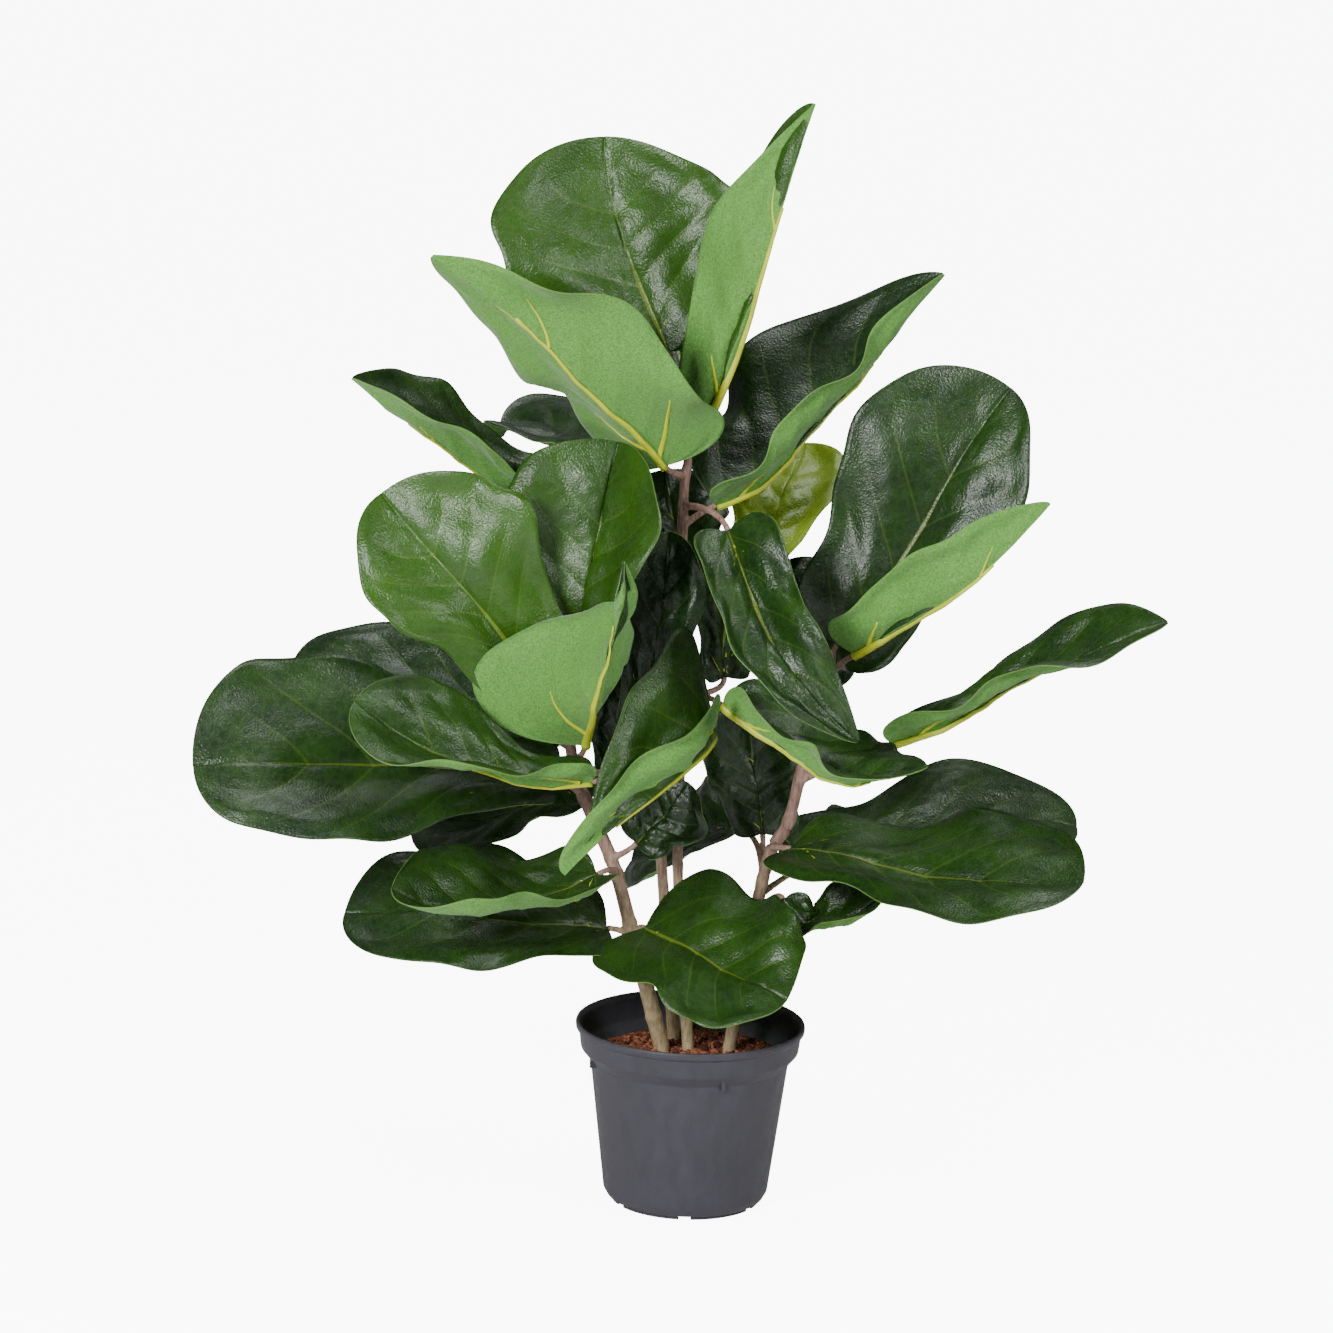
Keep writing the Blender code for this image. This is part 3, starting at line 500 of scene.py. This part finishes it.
def leaf_ribs(name, look, seed, finish):
    """The moulded ribs: a tapering midrib with a few side ribs that fade out on each half."""
    s = np.linspace(0, 1, 40)
    end = 0.74
    parts = [rib_tube(look, seed, s * end, 0 * s, MM * (3.3 - 2.2 * s ** 0.8))]
    for start, half, reach, thick in ((0.05, -1, 0.55, 2.2), (0.09, 1, 0.48, 2.0),
                                      (0.62, -1, 0.34, 1.3), (0.68, 1, 0.26, 1.2)):
        reach *= 1 + 0.2 * math.sin(seed + 9 * start)
        r = np.linspace(0, 1, 18)
        u = start + 0.36 * reach * r ** 1.15
        parts.append(rib_tube(look, seed, u, half * reach * r, thick * MM * (1 - 0.72 * r)))
    obj = mesh_object(name + "_ribs", *joined(parts))
    obj.data.materials.append(finish)
    return obj


def leaves(finishes, rib_finish):
    for seed, (name, own) in enumerate(LEAVES.items()):
        look = {**PLAIN_LEAF, **own, "ripple": RIPPLE.get(name, USUAL_RIPPLE)}
        look["fold"] = DEEPER_FOLD.get(name, look["fold"])
        declare(leaf_blade(name, look, 1.37 * seed, finishes), "leaf", name)
        declare(leaf_ribs(name, look, 1.37 * seed, rib_finish), "leaf")


# ---------------------------------------------------------------- stems

def stem_line(route, step):
    """Points and radii every step on the smooth curve through a stem's route."""
    knots = np.array(route) * CM
    padded = np.vstack([2 * knots[0] - knots[1], knots, 2 * knots[-1] - knots[-2]])
    line = []
    for before, start, end, after in zip(padded, padded[1:], padded[2:], padded[3:]):
        count = max(1, round(np.linalg.norm((end - start)[:3]) / step))
        s = np.arange(count)[:, None] / count
        line.append(0.5 * (2 * start + (end - before) * s
                           + (2 * before - 5 * start + 4 * end - after) * s ** 2
                           + (3 * start - before - 3 * end + after) * s ** 3))
    line.append(knots[-1:])
    return np.vstack(line)


def stalk_line(stem, look):
    """A bend from the middle of the stem to the blade, arriving along the midrib."""
    height = look["grows"][1] * CM
    start = np.array([np.interp(height, stem[:, 2], stem[:, i]) for i in range(3)])
    end, ahead = (value[0] for value in rib_at(look["rib"], np.zeros(1)))
    bend = end - 0.4 * np.linalg.norm(end - start) * ahead
    s = np.linspace(0, 1, 24)[:, None]
    return (1 - s) ** 2 * start + 2 * s * (1 - s) * bend + s ** 2 * end


def stem(name, route, finish):
    """A stem with its stalks: each a tube, swollen at nodes every few centimetres, then all
    melted into one skin."""
    line = stem_line(route, 2.5 * MM)
    foot = line[0].copy()
    foot[2] -= 12 * MM                # the stem goes on down into the soil
    line = np.vstack([foot, line])
    height = line[:, 2]
    heights = [look["grows"][1] * CM for look in LEAVES.values() if look["grows"][0] == name]
    rings = np.concatenate([heights, np.arange(0.125, height[-1], 0.034)])
    swell = np.exp(-((height[:, None] - rings) / (2.2 * MM)) ** 2).sum(1)
    sides = 20
    angle = np.linspace(0, 2 * np.pi, sides, endpoint=False)
    knob = 1 + 0.05 * np.sin(2 * angle[None, :] + 40 * height[:, None])
    radii = line[:, 3:4] * (1 + 0.13 * np.clip(swell, 0, 1.2))[:, None] * knob
    parts = [tube(line[:, :3], radii, sides)]
    for leaf_name, own in LEAVES.items():
        if own["grows"][0] == name:
            path = stalk_line(line, own)
            s = np.linspace(0, 1, len(path))
            thick = STALK_RADIUS * (1.25 - 0.45 * s ** 0.5 + 0.15 * np.exp(-((s - 1) / 0.12) ** 2))
            parts.append(tube(path, thick, 12))
    obj = mesh_object(name + "_wood", *joined(parts))
    obj.data.materials.append(finish)
    skin = obj.modifiers.new("One skin", "REMESH")
    skin.mode = "VOXEL"
    skin.voxel_size = 0.9 * MM
    skin.use_smooth_shade = True
    even = obj.modifiers.new("Even", "SMOOTH")
    even.factor = 0.5
    even.iterations = 3
    bake_modifiers(obj)
    return declare(obj, "bark", name)


def bake_modifiers(obj):
    graph = bpy.context.evaluated_depsgraph_get()
    finished = bpy.data.meshes.new_from_object(obj.evaluated_get(graph))
    obj.modifiers.clear()
    obj.data = finished


# ---------------------------------------------------------------- pot and soil

def rounded(profile, share=0.3, steps=5):
    """The profile with each inner corner turned into a short quadratic curve."""
    points = np.array(profile, float) * MM
    curve = [points[:1]]
    for before, corner, after in zip(points, points[1:], points[2:]):
        reach = min(0.9 * MM, share * np.linalg.norm(before - corner),
                    share * np.linalg.norm(after - corner))
        start = corner + (before - corner) / np.linalg.norm(before - corner) * reach
        end = corner + (after - corner) / np.linalg.norm(after - corner) * reach
        s = np.linspace(0, 1, steps)[:, None]
        curve.append((1 - s) ** 2 * start + 2 * s * (1 - s) * corner + s ** 2 * end)
    curve.append(points[-1:])
    return np.vstack(curve)


def turned(name, profile, steps):
    """A profile of (radius, height) carried round the Z axis; its two ends on the axis are
    single points."""
    angle = np.linspace(0, 2 * np.pi, steps, endpoint=False)
    inner = profile[1:-1]
    ring = np.stack([inner[:, :1] * np.cos(angle), inner[:, :1] * np.sin(angle),
                     np.repeat(inner[:, 1:], steps, 1)], -1)
    points, blocks = capped(ring, (0, 0, profile[0, 1]), (0, 0, profile[-1, 1]))
    return mesh_object(name, points, [block[:, ::-1] for block in blocks])


def block(name, size, place, turn):
    """A plain box used as a lug or as a cutting shape, turned about Z."""
    corner = np.array([(x, y, z) for x in (-0.5, 0.5) for y in (-0.5, 0.5) for z in (-0.5, 0.5)])
    faces = np.array([(0, 1, 3, 2), (4, 6, 7, 5), (0, 4, 5, 1), (2, 3, 7, 6), (0, 2, 6, 4),
                      (1, 5, 7, 3)])
    move = Matrix.Translation(place) @ Matrix.Rotation(turn, 4, "Z")
    points = np.array([move @ Vector(p) for p in corner * np.array(size)])
    return mesh_object(name, points, [faces])


def pot(finish):
    """Thin moulded wall with drain slots cut through the foot, and lugs under the collar."""
    obj = turned("pot_wall", rounded(POT_PROFILE), 200)
    obj.data.materials.append(finish)
    cutters = []
    for i in range(6):
        turn = 2 * math.pi * (i + 0.5) / 6
        place = (0.043 * math.cos(turn), 0.043 * math.sin(turn), 0)
        cutter = block("slot_shape", (0.016, 0.008, 0.0085), place, turn)
        cut = obj.modifiers.new("Slot", "BOOLEAN")
        cut.operation = "DIFFERENCE"
        cut.object = cutter
        cutters.append(cutter)
    bake_modifiers(obj)
    for cutter in cutters:
        bpy.data.objects.remove(cutter)
    obj.data.set_sharp_from_angle(angle=math.radians(40))
    declare(obj, "pot", "pot")
    for i in range(4):
        turn = math.radians(-71 + 90 * i)
        place = (0.0682 * math.cos(turn), 0.0682 * math.sin(turn), 0.1005)
        lug = block("stacking_lug_%d" % (i + 1), (0.0045, 0.0026, 0.009), place, turn)
        lug.data.materials.append(finish)
        lug.data.polygons.foreach_set("use_smooth", [False] * 6)
        declare(lug, "pot")


def soil(finish, crumb_finish):
    """A rough turned mound with loose crumbs scattered over it."""
    low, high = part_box("soil")
    top = high.z
    profile = np.array([(0, top), *[(r, top) for r in np.linspace(0.004, SOIL_RADIUS, 24)],
                        (SOIL_RADIUS + 0.0002, top - 0.004), (0.0519, 0.007), (0.048, low.z),
                        (0, low.z)])
    bed = turned("soil_bed", profile, 96)
    points = np.empty(len(bed.data.vertices) * 3)
    bed.data.vertices.foreach_get("co", points)
    points = points.reshape(-1, 3)
    surface = points[:, 2] > top - 1e-5
    x, y = points[surface, 0], points[surface, 1]
    points[surface, 2] += MM * (1.2 * np.sin(160 * x + 1) * np.sin(140 * y) - 1.8
                                + 0.7 * np.sin(420 * x) * np.sin(390 * y + 2))
    bed.data.vertices.foreach_set("co", points.ravel())
    bed.data.materials.append(finish)
    declare(bed, "soil", "soil")

    random = np.random.default_rng(7)
    phi = (1 + 5 ** 0.5) / 2
    ico = np.array([(-1, phi, 0), (1, phi, 0), (-1, -phi, 0), (1, -phi, 0), (0, -1, phi), (0, 1, phi),
                    (0, -1, -phi), (0, 1, -phi), (phi, 0, -1), (phi, 0, 1), (-phi, 0, -1), (-phi, 0, 1)])
    ico /= np.linalg.norm(ico[0])
    sides = np.array([(0, 11, 5), (0, 5, 1), (0, 1, 7), (0, 7, 10), (0, 10, 11), (1, 5, 9), (5, 11, 4),
                      (11, 10, 2), (10, 7, 6), (7, 1, 8), (3, 9, 4), (3, 4, 2), (3, 2, 6), (3, 6, 8),
                      (3, 8, 9), (4, 9, 5), (2, 4, 11), (6, 2, 10), (8, 6, 7), (9, 8, 1)])
    count = 2200
    spread = SOIL_RADIUS * 0.97 * np.sqrt(random.random(count))
    angle = 2 * np.pi * random.random(count)
    size = MM * random.gamma(3.0, 0.34, count).clip(0.5, 2.8)
    centre = np.stack([spread * np.cos(angle), spread * np.sin(angle),
                       np.full(count, top - 1.4 * MM)], -1)
    stretch = random.uniform(0.6, 1.5, (count, 1, 3))
    bumps = random.uniform(0.75, 1.25, (count, 12, 1))
    crumbs = centre[:, None] + ico * stretch * bumps * size[:, None, None]
    faces = (sides[None] + 12 * np.arange(count)[:, None, None]).reshape(-1, 3)
    obj = mesh_object("soil_crumbs", crumbs, [faces], smooth=False)
    float_attribute(obj, "crumb", np.repeat(random.random(count), 12))
    obj.data.materials.append(crumb_finish)
    declare(obj, "soil")


# ---------------------------------------------------------------- materials

def linear(hex_color):
    """An sRGB hex value as linear red, green, blue and alpha."""
    values = [int(hex_color[i:i + 2], 16) / 255 for i in (1, 3, 5)]
    return (*[v / 12.92 if v <= 0.04045 else ((v + 0.055) / 1.055) ** 2.4 for v in values], 1)


class Finish:
    """A material, its node tree and its object coordinates."""

    def __init__(self, name, roughness, **fixed):
        self.material = bpy.data.materials.new(name)
        self.material.use_nodes = True
        self.tree = self.material.node_tree
        self.shader = self.tree.nodes["Principled BSDF"]
        self.shader.inputs["Roughness"].default_value = roughness
        for socket, value in fixed.items():
            self.shader.inputs[socket.replace("_", " ")].default_value = value
        self.place = self.add("TexCoord", out="Object")

    def add(self, kind, inputs=(), out=0, **settings):
        """A new node. Its inputs come in order, or by name or number from a dict: a socket is
        linked, and a number, vector or colour is set. Gives the wanted output."""
        node = self.tree.nodes.new("ShaderNode" + kind)
        for key, value in settings.items():
            setattr(node, key, value)
        for key, value in inputs.items() if isinstance(inputs, dict) else enumerate(inputs):
            if isinstance(value, bpy.types.NodeSocket):
                self.tree.links.new(value, node.inputs[key])
            else:
                node.inputs[key].default_value = value
        return node.outputs[out]

    def feed(self, socket, value):
        self.tree.links.new(value, self.shader.inputs[socket])


def vein_masks(finish):
    """Lines on the blade's own map, 1 on the line: the midrib, which fades towards the tip, the
    side veins, which follow vein_count with a slight wander, and a net of cells 7 mm wide."""
    u = finish.add("SeparateXYZ", (finish.add("UVMap", uv_map="blade"),), out="X")
    t = finish.add("Math", (u.node.outputs["Y"], 2.0, -1.0), operation="MULTIPLY_ADD")
    t = finish.add("Math", (t,), operation="ABSOLUTE")
    wander = finish.add("TexNoise", {"Vector": finish.place, "Scale": 1 / (22 * MM)})
    wander = finish.add("Math", (wander, 0.10, -0.05), operation="MULTIPLY_ADD")
    bow = finish.add("Math", (t, 2.0), operation="POWER")
    bow = finish.add("Math", (bow, 0.08), operation="MULTIPLY")
    lean = finish.add("Math", (t, 0.26, bow), operation="MULTIPLY_ADD")
    count = finish.add("Math", (u, lean), operation="SUBTRACT")
    count = finish.add("Math", (count, VEIN_PAIRS, wander), operation="MULTIPLY_ADD")
    away = finish.add("Math", (count,), operation="FRACT")
    away = finish.add("Math", (away, 0.5), operation="SUBTRACT")
    away = finish.add("Math", (away,), operation="ABSOLUTE")
    side = finish.add("MapRange", (away, 0.455, 0.492))
    for value, gone, full in ((t, 0.95, 0.6), (u, 0.92, 0.75)):
        side = finish.add("Math", (side, finish.add("MapRange", (value, gone, full))),
                          operation="MULTIPLY")
    half_width = finish.add("Math", (u, -0.026, 0.025), operation="MULTIPLY_ADD")
    middle = finish.add("Math", (t, half_width), operation="LESS_THAN")
    middle = finish.add("Math", (middle, finish.add("MapRange", (u, 0.8, 0.3, 0.3, 1.0))),
                        operation="MULTIPLY")
    net = finish.add("TexVoronoi", {"Vector": finish.place, "Scale": 1 / (7 * MM)},
                     feature="DISTANCE_TO_EDGE")
    return middle, side, finish.add("MapRange", (net, 0.25, 0.0))


def coated_leaf():
    """Coated cloth, upper side: yellow-green to deep green by the leaf's freshness, pulled further
    towards the deep green as painted shade on leaves set below 0, and mixed with pale yellow as a
    painted glow of light shining through on the leaf set over 1; a low wax-like gloss, and a woven
    grain of 1.5 mm that breaks the highlights up. The real grain is finer; this is as fine as shows."""
    finish = Finish("coated leaf cloth, upper side", 0.4, Specular_IOR_Level=0.42)
    middle, side, net = vein_masks(finish)
    # Freshness below 0 pulls a leaf towards the deep green as painted shade; over 1 it adds a painted
    # glow of light shining through the leaf.
    fresh_and_painted_light = finish.add("Attribute", out="Fac", attribute_name="fresh_and_painted_light")
    mottle = finish.add("TexNoise", {"Vector": finish.place, "Scale": 1 / (30 * MM), "Detail": 3.0})
    mottle = finish.add("Math", (mottle, 0.5, -0.25), operation="MULTIPLY_ADD")
    share = finish.add("Math", (fresh_and_painted_light, mottle), operation="ADD", use_clamp=True)
    speck = finish.add("TexNoise", {"Vector": finish.place, "Scale": 1 / (0.9 * MM)})
    faint = [finish.add("Math", (mask, strength), operation="MULTIPLY")
             for mask, strength in ((net, 0.06), (side, 0.10), (middle, 0.32))]
    color = linear("#071d06")
    # The pale yellow "#97ad2a" share, for freshness from 1 to 1.5, is a painted glow of light shining
    # through a back-lit leaf.
    for share, over in ((share, "#3b6804"),
                        (finish.add("MapRange", (fresh_and_painted_light, 1.0, 1.5)), "#97ad2a"),
                        (finish.add("MapRange", (speck, 0.45, 0.75, 0.0, 0.2)), "#2c5a1c"),
                        (faint[0], "#4f7a2c"), (faint[1], "#7d9a30"), (faint[2], "#8c9c2e")):
        color = finish.add("Mix", {0: share, 6: color, 7: linear(over)}, out=2, data_type="RGBA")
    finish.feed("Base Color", color)
    wear = finish.add("TexNoise", {"Vector": finish.place, "Scale": 1 / (6 * MM), "Detail": 4.0})
    finish.feed("Roughness", finish.add("MapRange", (wear, 0.3, 0.7, 0.28, 0.41)))
    grain = finish.add("TexNoise", {"Vector": finish.place, "Scale": 1 / (1.5 * MM)})
    grain = finish.add("Bump", {"Height": grain, "Strength": 0.8, "Distance": 0.6 * MM})
    finish.feed("Normal", finish.add("Bump", {"Height": side, "Strength": -0.3, "Distance": 0.35 * MM,
                                              "Normal": grain}))
    return finish.material


def leaf_underside():
    """Uncoated leaf cloth: pale, quite matt, with the fibre speckle of the fabric."""
    finish = Finish("uncoated leaf cloth, underside", 0.75, Specular_IOR_Level=0.3, Sheen_Weight=0.15,
                    Sheen_Roughness=0.5)
    side = vein_masks(finish)[1]
    speck = finish.add("TexNoise", {"Vector": finish.place, "Scale": 1 / (1.2 * MM), "Detail": 4.0,
                                    "Roughness": 0.75})
    cloud = finish.add("TexNoise", {"Vector": finish.place, "Scale": 1 / (40 * MM)})
    color = linear("#386822")
    for share, over in ((finish.add("MapRange", (speck, 0.35, 0.7)), "#74aa50"),
                        (finish.add("Math", (cloud, 0.4), operation="MULTIPLY"), "#4d8230"),
                        (finish.add("Math", (side, 0.2), operation="MULTIPLY"), "#6d9a40")):
        color = finish.add("Mix", {0: share, 6: color, 7: linear(over)}, out=2, data_type="RGBA")
    finish.feed("Base Color", color)
    fibre = finish.add("TexNoise", {"Vector": finish.place, "Scale": 1 / (0.6 * MM)})
    finish.feed("Normal", finish.add("Bump", {"Height": fibre, "Strength": 0.35, "Distance": 0.3 * MM}))
    return finish.material


def cut_edge():
    """The cut edge of the cloth, which shows its light core."""
    finish = Finish("cut cloth edge", 0.7)
    fray = finish.add("TexNoise", {"Vector": finish.place, "Scale": 1 / (1.5 * MM)})
    finish.feed("Base Color", finish.add("Mix", {0: fray, 6: linear("#3d6a26"), 7: linear("#6f9040")},
                                         out=2, data_type="RGBA"))
    return finish.material


def moulded_rib():
    """Soft moulded polyethylene rib, yellow-green and slightly see-through at its edges."""
    finish = Finish("moulded yellow-green rib", 0.42, Subsurface_Weight=0.15, Subsurface_Scale=0.002)
    cloud = finish.add("TexNoise", {"Vector": finish.place, "Scale": 1 / (14 * MM), "Detail": 3.0})
    finish.feed("Base Color", finish.add("Mix", {0: cloud, 6: linear("#8f9f16"), 7: linear("#cdd62e")},
                                         out=2, data_type="RGBA"))
    return finish.material


def bark():
    """Young woody stem: grey-brown skin with lengthwise streaks, paler and more corky low down."""
    finish = Finish("young fig bark", 0.62)
    height = finish.add("SeparateXYZ", (finish.place,), out="Z")
    low = finish.add("MapRange", (height, 0.25, 0.16))
    along = finish.add("Mapping", {"Vector": finish.place, "Scale": (1.0, 1.0, 0.22)})
    streak = finish.add("TexNoise", {"Vector": along, "Scale": 1 / (2.2 * MM), "Detail": 5.0,
                                     "Roughness": 0.65})
    streak_share = finish.add("MapRange", (streak, 0.3, 0.7))
    blotch = finish.add("TexNoise", {"Vector": finish.place, "Scale": 1 / (13 * MM), "Detail": 3.0})
    blotch = finish.add("MapRange", (blotch, 0.5, 0.75, 0.0, 0.4))
    cork = finish.add("Mix", {0: streak_share, 6: linear("#75654a"), 7: linear("#b8a480")},
                      out=2, data_type="RGBA")
    color = linear("#5c443a")
    for share, over in ((streak_share, linear("#a68678")), (blotch, linear("#5f382c")), (low, cork)):
        color = finish.add("Mix", {0: share, 6: color, 7: over}, out=2, data_type="RGBA")
    finish.feed("Base Color", color)
    finish.feed("Normal", finish.add("Bump", {"Height": streak, "Strength": 0.5, "Distance": 0.5 * MM}))
    return finish.material


def pot_plastic():
    """Recycled polypropylene, injection moulded: dark grey, satin, with a fine flow mottle and
    specks of dust."""
    finish = Finish("moulded recycled polypropylene", 0.5, Specular_IOR_Level=0.35)
    flow = finish.add("Mapping", {"Vector": finish.place, "Scale": (1.0, 1.0, 0.35)})
    mottle = finish.add("TexNoise", {"Vector": flow, "Scale": 1 / (9 * MM), "Detail": 5.0,
                                     "Roughness": 0.6})
    dust = finish.add("TexNoise", {"Vector": finish.place, "Scale": 1 / (1.4 * MM), "Detail": 3.0})
    color = linear("#34333a")
    for share, over in ((finish.add("MapRange", (mottle, 0.3, 0.7)), "#3d3b44"),
                        (finish.add("MapRange", (dust, 0.62, 0.74, 0.0, 0.25)), "#4e4e54")):
        color = finish.add("Mix", {0: share, 6: color, 7: linear(over)}, out=2, data_type="RGBA")
    finish.feed("Base Color", color)
    finish.feed("Roughness", finish.add("MapRange", (mottle, 0.3, 0.7, 0.46, 0.62)))
    skin = finish.add("TexNoise", {"Vector": finish.place, "Scale": 1 / (0.8 * MM), "Detail": 3.0})
    finish.feed("Normal", finish.add("Bump", {"Height": skin, "Strength": 0.12, "Distance": 0.2 * MM}))
    return finish.material


def coir(name, varied):
    """Red-brown coir, dull and uneven; where varied, each crumb has its own shade."""
    finish = Finish(name, 0.95, Specular_IOR_Level=0.15)
    if varied:
        share = finish.add("Attribute", out="Fac", attribute_name="crumb")
    else:
        share = finish.add("TexNoise", {"Vector": finish.place, "Scale": 1 / (2 * MM), "Detail": 4.0})
    finish.feed("Base Color", finish.add("Mix", {0: share, 6: linear("#2c1610"), 7: linear("#965c46")},
                                         out=2, data_type="RGBA"))
    rough = finish.add("TexNoise", {"Vector": finish.place, "Scale": 1 / (0.7 * MM), "Detail": 3.0})
    finish.feed("Normal", finish.add("Bump", {"Height": rough, "Strength": 0.6, "Distance": 0.4 * MM}))
    return finish.material


# ---------------------------------------------------------------- studio

def studio():
    """Pale paper that sweeps up behind, three large soft lights and the camera."""
    bend = np.linspace(0, math.pi / 2, 13)
    sweep = np.vstack([[-7.0, 0], np.stack([4 + 3 * np.sin(bend), 3 - 3 * np.cos(bend)], -1), [7, 9.0]])
    paper_points = np.array([[(x, y, z) for x in (-9.0, 9.0)] for y, z in sweep])
    floor = mesh_object("floor", paper_points, [grid_faces(len(sweep), 2)])
    # Flat white paper. It looks a little brighter than it shines, so it reads as white without
    # filling the shade between the leaves.
    paper = Finish("white seamless paper", 0.9, Specular_IOR_Level=0.0, Emission_Color=(1, 1, 1, 1))
    paper.shader.inputs["Base Color"].default_value = linear("#f4f4f4")
    seen = paper.add("LightPath")
    paper.feed("Emission Strength", paper.add("Math", (seen, 9.0), operation="MULTIPLY"))
    floor.data.materials.append(paper.material)

    world = bpy.data.worlds.new("soft room")
    bpy.context.scene.world = world
    world.use_nodes = True
    world.node_tree.nodes["Background"].inputs["Color"].default_value = (1, 1, 1, 1)
    world.node_tree.nodes["Background"].inputs["Strength"].default_value = 0.14

    middle = Vector((0, 0, 0.4))
    for name, place, size, power in (
            ("left softbox", (-1.2, -2.1, 1.4), 0.65, 92),
            ("right softbox", (1.6, -1.5, 1.7), 0.6, 34),
            ("overhead softbox", (0.2, 0.5, 2.3), 1.0, 28)):
        light = bpy.data.lights.new(name, "AREA")
        light.size = size
        light.energy = power
        lamp = bpy.data.objects.new(name, light)
        lamp.location = place
        lamp.rotation_euler = (middle - Vector(place)).to_track_quat("-Z", "Y").to_euler()
        bpy.context.scene.collection.objects.link(lamp)

    pitch, roll = math.radians(12.85), math.radians(1.8)
    ahead = Vector((0, math.cos(pitch), -math.sin(pitch)))
    level, upright = Vector((1, 0, 0)), Vector((0, math.sin(pitch), math.cos(pitch)))
    right = math.cos(roll) * level + math.sin(roll) * upright
    over = -math.sin(roll) * level + math.cos(roll) * upright
    lens = bpy.data.cameras.new("camera")
    lens.sensor_width = 36
    lens.lens = 150
    camera = bpy.data.objects.new("camera", lens)
    turn = Matrix((right, over, -ahead)).transposed()
    camera.matrix_world = Matrix.Translation((-0.0237, -3.6, 1.19)) @ turn.to_4x4()
    bpy.context.scene.collection.objects.link(camera)
    bpy.context.scene.camera = camera


def main():
    studio()
    pot(pot_plastic())
    soil(coir("coir bed", False), coir("coir crumbs", True))
    wood = bark()
    for name, route in STEMS.items():
        stem(name, route, wood)
    leaves((coated_leaf(), leaf_underside(), cut_edge()), moulded_rib())


main()
